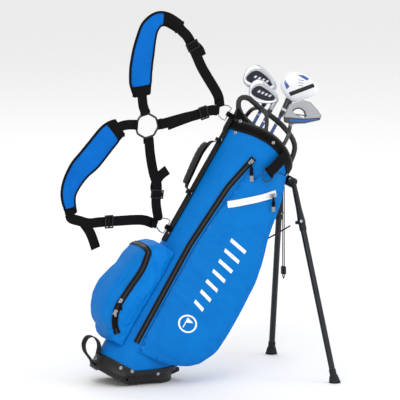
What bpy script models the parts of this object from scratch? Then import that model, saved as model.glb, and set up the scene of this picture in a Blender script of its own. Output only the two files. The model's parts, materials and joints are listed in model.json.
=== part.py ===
"""Golf club set: a junior stand bag with folding legs, a double shoulder harness and four clubs.

World frame: metres, +Z up, +X towards the stand legs, the origin at the centre of the toe pad that the
base foot stands on.  The bag leans forward by LEAN, so most pieces are modelled in the bag's own frame,
the empty "bag_frame": u (its X) points to the bag's front, v (its Y) is across, w (its Z) runs along the
bag's axis from the base to the mouth.  The pockets' zips are on the right-hand side, at -v.
"""

import math

import bmesh
import bpy
from mathutils import Matrix, Vector

MM = 0.001
GAP = 0.3 * MM                      # clearance between pieces that touch

# --- bag body -------------------------------------------------------------------------------------------
LEAN = math.radians(31.0)           # lean of the bag when its legs are out
BAG_LENGTH = 660.0 * MM             # base to the level where the rim's slope is measured
HALF_DEPTH_LOW = 92.0 * MM          # half the bag's front-to-back size at the base
HALF_DEPTH_HIGH = 97.0 * MM         # and at the mouth
HALF_WIDTH = 80.0 * MM
DRAWN_HALF_WIDTH = 80.0 * MM        # the width that the arches' points and the cup's clearance are drawn for
SHIFT_LOW = 5.0 * MM                # the section's centre moves forward along the bag
SHIFT_HIGH = 22.0 * MM
WALL = 4.0 * MM
RIM_RISE = 13.5 * MM                # middle of the rim above BAG_LENGTH
RIM_SLOPE = -0.226                  # the rim falls towards the front
RIM_SIDE_RISE = 30.0 * MM           # and arches up at the sides
COLLAR_HEIGHT = 22.0 * MM
COLLAR_THICK = 3.0 * MM
RIM_HEIGHT = 6.0 * MM
RIM_INSIDE = 7.0 * MM
RIM_OUTSIDE = 3.8 * MM
AROUND = 36                         # points around the bag's section

# --- base and foot ---------------------------------------------------------------------------------------
HINGE_U = -20.0 * MM                # the foot's hinge axis in the bag's frame
HINGE_W = 12.0 * MM
HINGE_HEIGHT = 17.0 * MM            # the hinge axis above the ground
HINGE_BACK = 115.0 * MM             # and behind the toe pad's centre
FOOT_TOP = 27.0 * MM
FOOT_ARCH = 6.0 * MM
FOOT_GAP = 1.0 * MM
FOOT_HALF_WIDTH = 62.0 * MM
TOE_REACH = 86.0 * MM               # half length of the rounded front of the foot
TOE_PAD_HALF = 22.0 * MM
TONGUE_REACH = 48.0 * MM
TONGUE_HALF = 9.0 * MM
PIN_RADIUS = 3.0 * MM
BORE_CLEARANCE = 0.35 * MM
EAR_RADIUS = 8.0 * MM
EAR_THICK = 5.0 * MM
CUP_WALL = 3.0 * MM
CUP_FLOOR = 4.0 * MM
SEAT_CLEAR = 3.0 * MM               # the tube's lower edge above the cup's floor
CUP_BAND = 15.0 * MM                # visible black band above the foot
CUP_HEEL = 40.0 * MM
RISER = 25.0 * MM                   # extra height of the cup at the very front

# --- stand -------------------------------------------------------------------------------------------------
LEG_SPREAD = 208.0 * MM             # half the distance between the feet
LEG_FORWARD = 42.0 * MM             # how far in front of its pivot a foot stands
LEG_PIVOT_U = 131.0 * MM
LEG_PIVOT_V = 40.0 * MM
LEG_PIVOT_DROP = 24.0 * MM          # below BAG_LENGTH
LEG_RADIUS = 7.5 * MM
ARM_LENGTH = 108.0 * MM
KNUCKLE_AT = 100.0 * MM             # distance from the pivot to the push rod's lug
LUG_OUT = 16.0 * MM                 # the lug's end from the leg's centre line
LUG_RADIUS = 4.0 * MM
BOSS_RADIUS = 10.0 * MM
BOSS_HALF = 5.0 * MM
BOOT_LENGTH = 34.0 * MM
BOOT_RADIUS = 15.0 * MM
BRACKET_HALF = 29.0 * MM
BRACKET_FRONT = 144.0 * MM
BRACKET_LOW = 14.0 * MM             # bracket's lower end below the pivots
BRACKET_HIGH = 10.0 * MM
ROD_RADIUS = 2.5 * MM
ROD_U = 121.0 * MM
ROD_FOOT_U = 108.5 * MM
ROD_TOP = 433.0 * MM
ROD_BEND_LOW = 150.0 * MM
ROD_BEND_HIGH = 205.0 * MM
HUB_HALF = 9.0 * MM
HUB_RADIUS = 5.0 * MM
PUSH_RADIUS = 2.0 * MM
PUSH_AT_HUB = 12.0 * MM             # how far the push rod's eye is from the middle plane
PUSH_CLEAR_KNUCKLE = 14.0 * MM      # the open pivot of the linkage

# --- pockets -----------------------------------------------------------------------------------------------
POCKET_BOTTOM = 85.0 * MM
POCKET_TOP_DROP = 20.0 * MM         # below BAG_LENGTH
GUSSET_CLEAR = 2.5 * MM             # the pocket's lower gusset hangs clear of the bag
ZIP_WIDTH = 16.0 * MM
ZIP_THICK = 2.0 * MM
PALE_ZIP_WIDTH = 17.0 * MM
BALL_BOTTOM = 76.0 * MM
BALL_HEIGHT = 269.0 * MM
BALL_HALF = 66.0 * MM

# --- harness and handle --------------------------------------------------------------------------------------
WEB_WIDTH = 25.0 * MM
WEB_THICK = 2.4 * MM
RING_AXIS_OUT = 9.0 * MM            # D-ring bars stand this far behind the spine strip
RING_LOW = 389.0 * MM
RING_TOP_RISE = 44.0 * MM           # upper D-ring above BAG_LENGTH
HARNESS_SPAN = 315.0 * MM           # distance between the D-rings that the harness points are drawn for
D_WIRE = 1.75 * MM
HANDLE_TOP_DROP = 30.0 * MM
HANDLE_LENGTH = 133.0 * MM
WEB_LANE = 3.3 * MM                 # webbing passes beside the D-rings' wire
PAD_THICK = 13.0 * MM
LOCK_LENGTH = 22.0 * MM
LOCK_SIDE = 4.0 * MM                # a ladder lock is this much wider than its webbing on each side
LOCK_THICK = 4.0 * MM
SPINE_WIDTH = 28.0 * MM
SPINE_THICK = 2.0 * MM
SPINE_BOTTOM = 356.0 * MM

# --- clubs -------------------------------------------------------------------------------------------------
SHAFT_RADIUS = 4.3 * MM
GRIP_BUTT = 11.5 * MM
GRIP_TIP = 8.0 * MM
GRIP_LENGTH = 235.0 * MM
GRIP_CLEAR = 3.0 * MM               # grip's end above the bag's floor
FACE_TURN = math.radians(-24.1)     # the heads' backs face the bag's right-hand front

ACROSS = Vector((0.0, 1.0, 0.0))
ALONG = Vector((0.0, 0.0, 1.0))


# ------------------------------------------------------------------------------------------------------------
# Scene helpers
# ------------------------------------------------------------------------------------------------------------
for old in list(bpy.data.objects):
    bpy.data.objects.remove(old, do_unlink=True)

PARTS = bpy.data.collections.new("golf_club_set")
CUTTERS = bpy.data.collections.new("cutters")
bpy.context.scene.collection.children.link(PARTS)
bpy.context.scene.collection.children.link(CUTTERS)

LOOKS = {                            # colour, roughness, metallic
    "blue_nylon": ((0.0, 0.16, 0.69), 0.75, 0.0),
    "black_web": ((0.012, 0.012, 0.015), 0.85, 0.0),
    "black_plastic": ((0.02, 0.02, 0.025), 0.45, 0.0),
    "grey_plastic": ((0.08, 0.08, 0.085), 0.5, 0.0),
    "dark_metal": ((0.05, 0.05, 0.06), 0.35, 1.0),
    "steel": ((0.6, 0.6, 0.62), 0.25, 1.0),
    "white_coat": ((0.85, 0.85, 0.87), 0.35, 0.0),
    "blue_shaft": ((0.01, 0.06, 0.42), 0.3, 0.3),
    "rubber": ((0.015, 0.015, 0.015), 0.9, 0.0),
    "putter_grey": ((0.33, 0.34, 0.36), 0.35, 0.8),
}


def material(name, look):
    """A Principled material of its own for one node."""
    colour, roughness, metallic = LOOKS[look]
    made = bpy.data.materials.new(name)
    made.use_nodes = True
    shader = made.node_tree.nodes["Principled BSDF"]
    shader.inputs["Base Color"].default_value = (*colour, 1.0)
    shader.inputs["Roughness"].default_value = roughness
    shader.inputs["Metallic"].default_value = metallic
    return made


def empty(name, parent=None, location=(0.0, 0.0, 0.0), rotation=(0.0, 0.0, 0.0)):
    made = bpy.data.objects.new(name, None)
    made.parent = parent
    made.location = location
    made.rotation_euler = rotation
    PARTS.objects.link(made)
    return made


def add_mesh(name, look, bm, parent, origin=Vector(), cutter=False):
    """Turn a bmesh, drawn in its parent's frame, into an object whose origin is at origin."""
    bmesh.ops.recalc_face_normals(bm, faces=bm.faces)
    bmesh.ops.translate(bm, verts=bm.verts, vec=-Vector(origin))
    mesh = bpy.data.meshes.new(name)
    bm.to_mesh(mesh)
    bm.free()
    mesh.shade_smooth()
    mesh.set_sharp_from_angle(angle=math.radians(35.0))
    made = bpy.data.objects.new(name, mesh)
    made.parent = parent
    made.location = origin
    if cutter:
        made.hide_render = True
        made.display_type = "WIRE"
        CUTTERS.objects.link(made)
    else:
        mesh.materials.append(material(name, look))
        PARTS.objects.link(made)
    return made


def boolean(target, tool, operation):
    step = target.modifiers.new(f"{operation.lower()}_{tool.name}", "BOOLEAN")
    step.operation = operation
    step.object = tool


def loft(rings, closed=False, caps="fan"):
    """Skin a list of equal rings.  closed joins the last ring to the first; strips fills an end ring with
    faces from side to side, which follow a floor that bends along its length."""
    bm = bmesh.new()
    loops = [[bm.verts.new(p) for p in ring] for ring in rings]
    size = len(loops[0])
    pairs = list(zip(loops, loops[1:]))
    if closed:
        pairs.append((loops[-1], loops[0]))
    for low, high in pairs:
        for i in range(size):
            j = (i + 1) % size
            bm.faces.new((low[i], low[j], high[j], high[i]))
    if not closed:
        for end in (loops[0], loops[-1]):
            if caps == "fan":
                bm.faces.new(end)
            else:
                for i in range(size // 2):
                    corners = [end[i], end[i + 1], end[size - i - 1], end[(size - i) % size]]
                    bm.faces.new(list(dict.fromkeys(corners)))
    return bm


def box(low, high):
    bm = bmesh.new()
    bmesh.ops.create_cube(bm, size=1.0)
    size = Vector(high) - Vector(low)
    middle = (Vector(high) + Vector(low)) / 2.0
    bmesh.ops.scale(bm, verts=bm.verts, vec=size)
    bmesh.ops.translate(bm, verts=bm.verts, vec=middle)
    return bm


def cone(start, end, radius_start, radius_end, sides=16):
    """A cylinder or cone between two points."""
    start, end = Vector(start), Vector(end)
    bm = bmesh.new()
    bmesh.ops.create_cone(
        bm, cap_ends=True, segments=sides, radius1=radius_start, radius2=radius_end, depth=(end - start).length
    )
    turn = ALONG.rotation_difference(end - start).to_matrix().to_4x4()
    bmesh.ops.transform(bm, verts=bm.verts, matrix=Matrix.Translation((start + end) / 2.0) @ turn)
    return bm


def stations(points, radii, sides=10, flat=None):
    """A round bar through points with a radius at each; flat squeezes it along one direction."""
    rings = []
    points = [Vector(p) for p in points]
    for i, point in enumerate(points):
        ahead = points[min(i + 1, len(points) - 1)] - points[max(i - 1, 0)]
        ahead.normalize()
        side = flat.cross(ahead).normalized() if flat else ahead.orthogonal().normalized()
        other = ahead.cross(side)
        wide, thin = radii[i] if isinstance(radii[i], tuple) else (radii[i], radii[i])
        rings.append([
            point + side * wide * math.cos(a) + other * thin * math.sin(a)
            for a in (2.0 * math.pi * k / sides for k in range(sides))
        ])
    return loft(rings)


def rod(name, look, points, radius, parent, origin=Vector(), cyclic=False, resolution=2):
    """A wire, bar or cord as a bevelled curve; its points are in the parent's frame."""
    curve = bpy.data.curves.new(name, "CURVE")
    curve.dimensions = "3D"
    curve.bevel_depth = radius
    curve.bevel_resolution = resolution
    curve.use_fill_caps = not cyclic
    spline = curve.splines.new("POLY")
    spline.points.add(len(points) - 1)
    for slot, point in zip(spline.points, points):
        slot.co = (*(Vector(point) - Vector(origin)), 1.0)
    spline.use_cyclic_u = cyclic
    curve.materials.append(material(name, look))
    made = bpy.data.objects.new(name, curve)
    made.parent = parent
    made.location = origin
    PARTS.objects.link(made)
    return made


def smooth(points, steps):
    """Points along a Catmull-Rom curve through points."""
    points = [Vector(p) for p in points]
    ends = [points[0] * 2.0 - points[1]] + points + [points[-1] * 2.0 - points[-2]]
    out = []
    for a, b, c, d in zip(ends, ends[1:], ends[2:], ends[3:]):
        for k in range(steps):
            t = k / steps
            out.append(0.5 * (2.0 * b + (c - a) * t + (2.0 * a - 5.0 * b + 4.0 * c - d) * t * t
                              + (3.0 * b - a - 3.0 * c + d) * t ** 3))
    return out + [points[-1]]


def strap(path, widths, thick, side=ACROSS):
    """Flat webbing along a path; side is the direction of its width, one or one for each point."""
    path = [Vector(p) for p in path]
    count = len(path)
    if not isinstance(widths, (list, tuple)):
        widths = [widths] * count
    sides = side if isinstance(side, list) else [side] * count
    rings = []
    for i, point in enumerate(path):
        ahead = (path[min(i + 1, count - 1)] - path[max(i - 1, 0)]).normalized()
        across = (sides[i] - ahead * sides[i].dot(ahead)).normalized()
        up = ahead.cross(across) * thick / 2.0
        half = across * widths[i] / 2.0
        rings.append([point - half - up, point + half - up, point + half + up, point - half + up])
    return loft(rings)


# ------------------------------------------------------------------------------------------------------------
# Shapes that the bag's pieces share
# ------------------------------------------------------------------------------------------------------------
def lerp(low, high, t):
    return low + (high - low) * t


def table(rows, x):
    """Straight-line reading of a short table of (x, value) rows."""
    if x <= rows[0][0]:
        return rows[0][1]
    for (x0, y0), (x1, y1) in zip(rows, rows[1:]):
        if x <= x1:
            return lerp(y0, y1, (x - x0) / (x1 - x0))
    return rows[-1][1]


def centre_u(w):
    return lerp(SHIFT_LOW, SHIFT_HIGH, w / BAG_LENGTH)


def half_depth(w):
    return lerp(HALF_DEPTH_LOW, HALF_DEPTH_HIGH, w / BAG_LENGTH)


def shell(angle, w, out=0.0):
    """A point on the bag's outer surface; angle 0 is the front and pi/2 the right-hand side."""
    return Vector((
        centre_u(w) + (half_depth(w) + out) * math.cos(angle),
        -(HALF_WIDTH + out) * math.sin(angle),
        w,
    ))


def rear_u(w, out=0.0):
    return centre_u(w) - half_depth(w) - out


def front_u(w, out=0.0):
    return centre_u(w) + half_depth(w) + out


def rim_w(angle):
    return (BAG_LENGTH + RIM_RISE + RIM_SLOPE * half_depth(BAG_LENGTH) * math.cos(angle)
            + RIM_SIDE_RISE * math.sin(angle) ** 2)


BAG_ORIGIN = Vector((
    -HINGE_BACK - HINGE_U * math.cos(LEAN) - HINGE_W * math.sin(LEAN),
    0.0,
    HINGE_HEIGHT + HINGE_U * math.sin(LEAN) - HINGE_W * math.cos(LEAN),
))
TO_WORLD = Matrix.Translation(BAG_ORIGIN) @ Matrix.Rotation(LEAN, 4, "Y")
TO_BAG = TO_WORLD.inverted()


def level_w(u, height):
    """The w at which the plane of that world height meets u."""
    return (height - BAG_ORIGIN.z + u * math.sin(LEAN)) / math.cos(LEAN)


STEP_BACK = HINGE_U - 18.0 * MM
STEP_FRONT = HINGE_U - 8.0 * MM


def floor_w(u):
    """Underside of the base cup: square to the bag behind the hinge, level with the foot before it."""
    front = level_w(max(u, STEP_FRONT), FOOT_TOP + FOOT_GAP)
    if u <= STEP_BACK:
        return 0.0
    if u < STEP_FRONT:
        return front * (u - STEP_BACK) / (STEP_FRONT - STEP_BACK)
    return front


def cup_top_w(u):
    riser = RISER * min(max((u - 78.0 * MM) / (8.0 * MM), 0.0), 1.0)
    return max(CUP_HEEL, level_w(u, FOOT_TOP + FOOT_GAP) + CUP_BAND) + riser


def base_ring(out, height):
    """A ring around the bag's foot whose w is a function of u."""
    ring = []
    for k in range(AROUND):
        angle = 2.0 * math.pi * k / AROUND
        point = shell(angle, CUP_HEEL, out)
        for _ in range(3):
            point = shell(angle, height(point.x), out)
        ring.append(point)
    return ring


def rim_ring(out, rise):
    return [
        shell(angle, rim_w(angle) + rise, out)
        for angle in (2.0 * math.pi * k / AROUND for k in range(AROUND))
    ]


BAG = empty("bag_frame", location=BAG_ORIGIN, rotation=(0.0, LEAN, 0.0))


# ------------------------------------------------------------------------------------------------------------
# Bag body
# ------------------------------------------------------------------------------------------------------------
def build_body():
    bow = HALF_WIDTH / DRAWN_HALF_WIDTH     # the section's facets bow more on a wider bag
    lift = CUP_FLOOR + SEAT_CLEAR * bow
    add_mesh("bag_tube", "blue_nylon", loft([
        base_ring(0.0, lambda u: floor_w(u) + lift),
        rim_ring(0.0, 0.0),
        rim_ring(-WALL, 0.0),
        base_ring(-WALL, lambda u: floor_w(u) + lift),
    ], closed=True), BAG)

    inner = GAP * bow
    outer = inner + CUP_WALL
    cup = add_mesh("base_cup", "black_plastic", loft([
        base_ring(outer, floor_w),
        base_ring(outer, cup_top_w),
        base_ring(inner, cup_top_w),
        base_ring(inner, lambda u: floor_w(u) + CUP_FLOOR),
    ], caps="strips"), BAG)
    for side in (-1.0, 1.0):
        inside = side * (FOOT_HALF_WIDTH + 3.0 * MM)
        outside = inside + side * EAR_THICK
        ear = loft([
            [Vector((HINGE_U + du, v, dw)) for du, dw in (
                (-EAR_RADIUS, HINGE_W - 2.0 * MM), (-5.0 * MM, HINGE_W - EAR_RADIUS),
                (5.0 * MM, HINGE_W - EAR_RADIUS), (EAR_RADIUS, HINGE_W - 2.0 * MM),
                (EAR_RADIUS + 2.0 * MM, CUP_HEEL - 4.0 * MM), (-EAR_RADIUS - 2.0 * MM, CUP_HEEL - 4.0 * MM),
            )] for v in (inside, outside)
        ])
        boolean(cup, add_mesh(f"ear{side:+.0f}", "", ear, BAG, cutter=True), "UNION")
    hollow = loft([
        base_ring(inner, lambda u: floor_w(u) + CUP_FLOOR),
        base_ring(inner, lambda u: cup_top_w(u) + CUP_HEEL),
    ], caps="strips")
    boolean(cup, add_mesh("cup_hollow", "", hollow, BAG, cutter=True), "DIFFERENCE")
    hinge = Vector((HINGE_U, 0.0, HINGE_W))
    reach = ACROSS * (FOOT_HALF_WIDTH + 3.0 * MM + EAR_THICK)
    bore = cone(hinge - reach * 1.2, hinge + reach * 1.2, PIN_RADIUS + BORE_CLEARANCE,
                PIN_RADIUS + BORE_CLEARANCE)
    boolean(cup, add_mesh("hinge_bore", "", bore, BAG, cutter=True), "DIFFERENCE")
    add_mesh("base_hinge_pin", "steel", cone(hinge - reach, hinge + reach, PIN_RADIUS, PIN_RADIUS), BAG)

    add_mesh("top_collar", "black_web", loft([
        rim_ring(GAP, -COLLAR_HEIGHT), rim_ring(GAP, 0.0),
        rim_ring(GAP + COLLAR_THICK, 0.0), rim_ring(GAP + COLLAR_THICK, -COLLAR_HEIGHT),
    ], closed=True), BAG)
    build_rim()


CROSS_ANGLE = math.radians(113.0)   # where the cross arch stands on the rim


def build_rim():
    """Moulded mouth ring with the long carrying arch and the cross arch over it."""
    rim = add_mesh("top_rim", "grey_plastic", loft([
        rim_ring(-RIM_INSIDE, GAP), rim_ring(-RIM_INSIDE, GAP + RIM_HEIGHT),
        rim_ring(RIM_OUTSIDE, GAP + RIM_HEIGHT), rim_ring(RIM_OUTSIDE, GAP),
    ], closed=True), BAG)
    top = BAG_LENGTH
    shift = half_depth(top) - HALF_DEPTH_HIGH
    spread = HALF_WIDTH / DRAWN_HALF_WIDTH

    def arch(points):
        return [Vector((u * MM + shift * (1 if u > 0 else -1), v * MM * spread, top + w * MM)) for u, v, w in points]

    long_arch = smooth(arch([
        (-68, 0, 39), (-70, 0, 60), (-83, 0, 83), (-79, 0, 97), (-60, 0, 102), (-25, 0, 95),
        (4, 0, 92), (35, 0, 88), (68, 0, 79), (94, 0, 67), (110, 0, 50), (116, 0, 22), (115, 0, -5),
    ]), 2)
    sizes = [(7.0 * MM, 6.0 * MM)] * len(long_arch)
    boolean(rim, add_mesh("long_arch", "", stations(long_arch, sizes, 8, ACROSS), BAG, cutter=True), "UNION")
    near = arch([(-17, -66, 66), (-20, -48, 84), (-22, -20, 93), (-22, 0, 95)])
    stand = shell(CROSS_ANGLE, rim_w(CROSS_ANGLE) + GAP + RIM_HEIGHT / 2.0, -1.0 * MM)
    near = [stand] + near
    cross_arch = smooth(near + [Vector((p.x, -p.y, p.z)) for p in reversed(near[:-1])], 2)
    sizes = [(5.0 * MM, 5.5 * MM)] * len(cross_arch)
    cross = stations(cross_arch, sizes, 8, Vector((1.0, 0.0, 0.0)))
    boolean(rim, add_mesh("cross_arch", "", cross, BAG, cutter=True), "UNION")
    foot_angle = math.radians(132.0)
    stand = shell(foot_angle, rim_w(foot_angle) + GAP + RIM_HEIGHT * 0.7, -1.0 * MM)
    strut = stations(arch([(-78, 0, 76), (-64, -10, 62), (-54, -34, 54)]) + [stand],
                     [(4.0 * MM, 4.0 * MM)] * 4, 8, Vector((1.0, 0.0, 0.0)))
    boolean(rim, add_mesh("rear_strut", "", strut, BAG, cutter=True), "UNION")


def build_foot():
    """Hinged ground plate; drawn in the world frame, where it lies flat."""
    ellipse_back = TOE_PAD_HALF + 4.0 * MM - TOE_REACH

    def half(x):
        share = max(x - ellipse_back, 0.0) / TOE_REACH
        return FOOT_HALF_WIDTH * math.sqrt(max(1.0 - share * share, 0.0))

    hinge_x = -HINGE_BACK
    pad = TOE_PAD_HALF
    sections = [
        (hinge_x - 7.0 * MM, HINGE_HEIGHT - 6.0 * MM, HINGE_HEIGHT + 6.0 * MM, 54.0 * MM),
        (hinge_x - 1.0 * MM, HINGE_HEIGHT - 10.0 * MM, HINGE_HEIGHT + 9.0 * MM, FOOT_HALF_WIDTH),
        (hinge_x + 9.0 * MM, FOOT_ARCH / 2.0, FOOT_TOP, FOOT_HALF_WIDTH),
        (hinge_x + 31.0 * MM, FOOT_ARCH / 2.0, FOOT_TOP, FOOT_HALF_WIDTH),
        (hinge_x + 34.0 * MM, FOOT_ARCH, FOOT_TOP, half(hinge_x + 34.0 * MM)),
        (-pad - 12.0 * MM, FOOT_ARCH, FOOT_TOP, half(-pad - 12.0 * MM)),
        (-pad, 0.0, FOOT_TOP, half(-pad)),
        (-pad / 2.0, 0.0, FOOT_TOP, half(-pad / 2.0)),
        (0.0, 0.0, FOOT_TOP, half(0.0)),
        (pad / 2.0, 0.0, FOOT_TOP, half(pad / 2.0)),
        (pad, 0.0, FOOT_TOP, half(pad)),
        (pad + 4.0 * MM, 10.0 * MM, FOOT_TOP, TONGUE_HALF),
        (TONGUE_REACH, 17.0 * MM, FOOT_TOP, TONGUE_HALF - 1.0 * MM),
    ]
    rings = [[
        Vector((x, -side, low)), Vector((x, side, low)), Vector((x, side, high)), Vector((x, -side, high)),
    ] for x, low, high, side in sections]
    hinge = Vector((hinge_x, 0.0, HINGE_HEIGHT))
    foot = add_mesh("base_foot", "black_plastic", loft(rings), None, origin=hinge)
    reach = ACROSS * FOOT_HALF_WIDTH * 1.3
    bore = cone(hinge - reach, hinge + reach, PIN_RADIUS + BORE_CLEARANCE, PIN_RADIUS + BORE_CLEARANCE)
    boolean(foot, add_mesh("foot_bore", "", bore, None, cutter=True), "DIFFERENCE")


# ------------------------------------------------------------------------------------------------------------
# Stand: legs, sliding rod and push rods
# ------------------------------------------------------------------------------------------------------------
def stand_geometry(side):
    """Pivot, directions and fold axis of one leg in the bag's frame; side is -1 right, +1 left."""
    pivot = Vector((LEG_PIVOT_U, side * LEG_PIVOT_V, BAG_LENGTH - LEG_PIVOT_DROP))
    high = TO_WORLD @ pivot
    ground = Vector((high.x + LEG_FORWARD, side * LEG_SPREAD, 0.0))
    leg_length = (ground - high).length
    out = (TO_BAG @ ground - pivot).normalized()
    folded = -ALONG
    axis = out.cross(folded).normalized()
    angle = out.angle(folded)
    eye = Vector((ROD_U, side * PUSH_AT_HUB, ROD_TOP))
    knuckle = pivot + out * KNUCKLE_AT + axis.cross(out) * LUG_OUT
    knuckle_folded = pivot + folded * KNUCKLE_AT + axis.cross(folded) * LUG_OUT
    length = (knuckle - eye).length
    across = Vector((knuckle_folded.x - eye.x, knuckle_folded.y - eye.y, 0.0)).length
    travel = ROD_TOP - (knuckle_folded.z - math.sqrt(length ** 2 - across ** 2))
    push_out = (knuckle - eye).normalized()
    push_in = (knuckle_folded - (eye - ALONG * travel)).normalized()
    return {
        "pivot": pivot, "ground": ground, "leg_length": leg_length, "out": out, "axis": axis, "angle": angle, "eye": eye,
        "knuckle": knuckle, "travel": travel, "push_axis": push_out.cross(push_in).normalized(),
        "push_angle": push_out.angle(push_in),
    }


def build_leg(side, name):
    leg = stand_geometry(side)
    pivot, out, axis = leg["pivot"], leg["out"], leg["axis"]

    def at(distance):
        return pivot + out * distance

    arm = add_mesh(f"{name}_arm", "black_plastic", stations(
        [at(2.0 * MM), at(30.0 * MM), at(70.0 * MM), at(90.0 * MM), at(KNUCKLE_AT), at(ARM_LENGTH)],
        [(6.0 * MM, 8.0 * MM), (7.0 * MM, 9.0 * MM), (7.5 * MM, 9.0 * MM), (9.0 * MM, 10.0 * MM),
         (10.0 * MM, 10.5 * MM), (9.0 * MM, 9.0 * MM)], 12, axis), BAG, origin=pivot)
    lug = cone(at(KNUCKLE_AT), leg["knuckle"], LUG_RADIUS * 1.4, LUG_RADIUS)
    boolean(arm, add_mesh(f"{name}_lug", "", lug, BAG, cutter=True), "UNION")
    boss = cone(pivot - axis * BOSS_HALF, pivot + axis * BOSS_HALF, BOSS_RADIUS, BOSS_RADIUS)
    boolean(arm, add_mesh(f"{name}_boss", "", boss, BAG, cutter=True), "UNION")
    hole = cone(pivot - axis * BOSS_RADIUS * 2.0, pivot + axis * BOSS_RADIUS * 2.0,
                PIN_RADIUS + BORE_CLEARANCE, PIN_RADIUS + BORE_CLEARANCE)
    boolean(arm, add_mesh(f"{name}_hole", "", hole, BAG, cutter=True), "DIFFERENCE")
    end = leg["leg_length"] - BOOT_LENGTH
    add_mesh(f"{name}_tube", "dark_metal",
             cone(at(ARM_LENGTH + GAP), at(end), LEG_RADIUS, LEG_RADIUS - 0.5 * MM), BAG, origin=pivot)

    flat = []
    for k in range(12):
        turn = 2.0 * math.pi * k / 12
        spot = leg["ground"] + Vector((math.cos(turn), math.sin(turn), 0.0)) * BOOT_RADIUS
        flat.append(TO_BAG @ spot)
    rings = []
    for distance, radius in ((end + GAP, 9.0 * MM), (end + 14.0 * MM, 9.0 * MM), (end + 17.0 * MM, 11.0 * MM)):
        rings.append([
            at(distance) + (corner - TO_BAG @ leg["ground"]).normalized() * radius for corner in flat
        ])
    for ring, distance in zip(rings, (end + GAP, end + 14.0 * MM, end + 17.0 * MM)):
        middle = at(distance)
        for i, corner in enumerate(ring):
            ring[i] = corner - out * (corner - middle).dot(out)
    add_mesh(f"{name}_foot", "rubber", loft(rings + [flat]), BAG, origin=pivot)

    start = leg["eye"]
    push = (leg["knuckle"] - start).normalized()
    stop = leg["knuckle"] - push * PUSH_CLEAR_KNUCKLE
    rod(f"push_rod_{name[4:]}", "dark_metal", [start, start.lerp(stop, 0.5), stop], PUSH_RADIUS, BAG,
        origin=start)


def build_stand():
    pivot_w = BAG_LENGTH - LEG_PIVOT_DROP
    back = front_u(pivot_w, GAP + COLLAR_THICK + GAP)
    bracket = add_mesh("stand_bracket", "black_plastic", box(
        (back, -BRACKET_HALF, pivot_w - BRACKET_LOW),
        (BRACKET_FRONT, BRACKET_HALF, pivot_w + BRACKET_HIGH)), BAG)
    for side in (-1.0, 1.0):
        leg = stand_geometry(side)
        inward = leg["axis"] * (-side)
        axle = cone(leg["pivot"] - inward * (BOSS_HALF + 3.0 * MM), leg["pivot"] + inward * 19.0 * MM,
                    PIN_RADIUS, PIN_RADIUS)
        boolean(bracket, add_mesh(f"axle{side:+.0f}", "", axle, BAG, cutter=True), "UNION")
    build_leg(-1.0, "leg_right")
    build_leg(1.0, "leg_left")

    foot_w = level_w(ROD_FOOT_U, FOOT_TOP + 1.5 * MM) + ROD_RADIUS
    shaft = stations(
        [(ROD_FOOT_U, 0, foot_w), (ROD_FOOT_U, 0, ROD_BEND_LOW - 15.0 * MM),
         (ROD_FOOT_U + 2.0 * MM, 0, ROD_BEND_LOW), (ROD_U - 2.0 * MM, 0, ROD_BEND_HIGH),
         (ROD_U, 0, ROD_BEND_HIGH + 15.0 * MM), (ROD_U, 0, ROD_TOP)],
        [ROD_RADIUS] * 6, 10, ACROSS)
    slider = add_mesh("actuator_rod", "dark_metal", shaft, BAG, origin=Vector((ROD_U, 0.0, ROD_TOP)))
    hub = cone((ROD_U, -HUB_HALF, ROD_TOP), (ROD_U, HUB_HALF, ROD_TOP), HUB_RADIUS, HUB_RADIUS)
    boolean(slider, add_mesh("rod_hub", "", hub, BAG, cutter=True), "UNION")


# ------------------------------------------------------------------------------------------------------------
# Side pocket with its long zip and the small zipped pocket on it
# ------------------------------------------------------------------------------------------------------------
ZIP_ANGLE = ((103, 124.0), (375, 127.0), (545, 120.0), (640, 107.5))
POCKET_CORNER = (       # w, corner u, corner v, angle where the front gusset meets the bag
    (85, -48, -72, 117), (88, 12, -92, 95), (98, 58, -104, 70), (110, 86, -112, 50), (131, 108, -126, 36),
    (169, 126, -136, 30), (227, 132, -138, 28), (300, 133, -138, 28), (378, 131, -136, 28),
    (430, 124, -126, 28), (480, 114, -112, 28), (571, 106, -96, 28), (640, 97, -66, 30),
)


def pocket_level(w):
    """The drawn height stretched to the pocket's real one."""
    top = BAG_LENGTH - POCKET_TOP_DROP
    return lerp(POCKET_BOTTOM, top, (w * MM - POCKET_BOTTOM) / (640.0 * MM - POCKET_BOTTOM))


def zip_angle(w):
    return math.radians(table([(pocket_level(x), y) for x, y in ZIP_ANGLE], w))


def pocket_corner(w):
    grow_u = half_depth(w) - lerp(92.0 * MM, 97.0 * MM, w / BAG_LENGTH)
    grow_v = HALF_WIDTH - 80.0 * MM
    rows = [(pocket_level(row[0]), row) for row in POCKET_CORNER]
    u = table([(x, row[1] * MM) for x, row in rows], w) + grow_u
    v = table([(x, row[2] * MM) for x, row in rows], w) - grow_v
    return Vector((u, v, w))


def pocket_panel(share, w, out=0.0):
    """A point on the pocket's outer panel; share runs from the zip, 0, to the front corner, 1."""
    edge = zip_angle(w) - (ZIP_WIDTH / 2.0 + 1.5 * MM) / HALF_WIDTH
    start = shell(edge, w, 6.0 * MM)
    corner = pocket_corner(w)
    chord = corner - start
    outward = Vector((chord.y, -chord.x, 0.0)).normalized()
    if outward.y > 0.0:
        outward = -outward
    middle = start.lerp(corner, 0.5) + outward * chord.length * 0.10
    point = start * (1 - share) ** 2 + middle * 2.0 * share * (1 - share) + corner * share ** 2
    return point + outward * out


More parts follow.
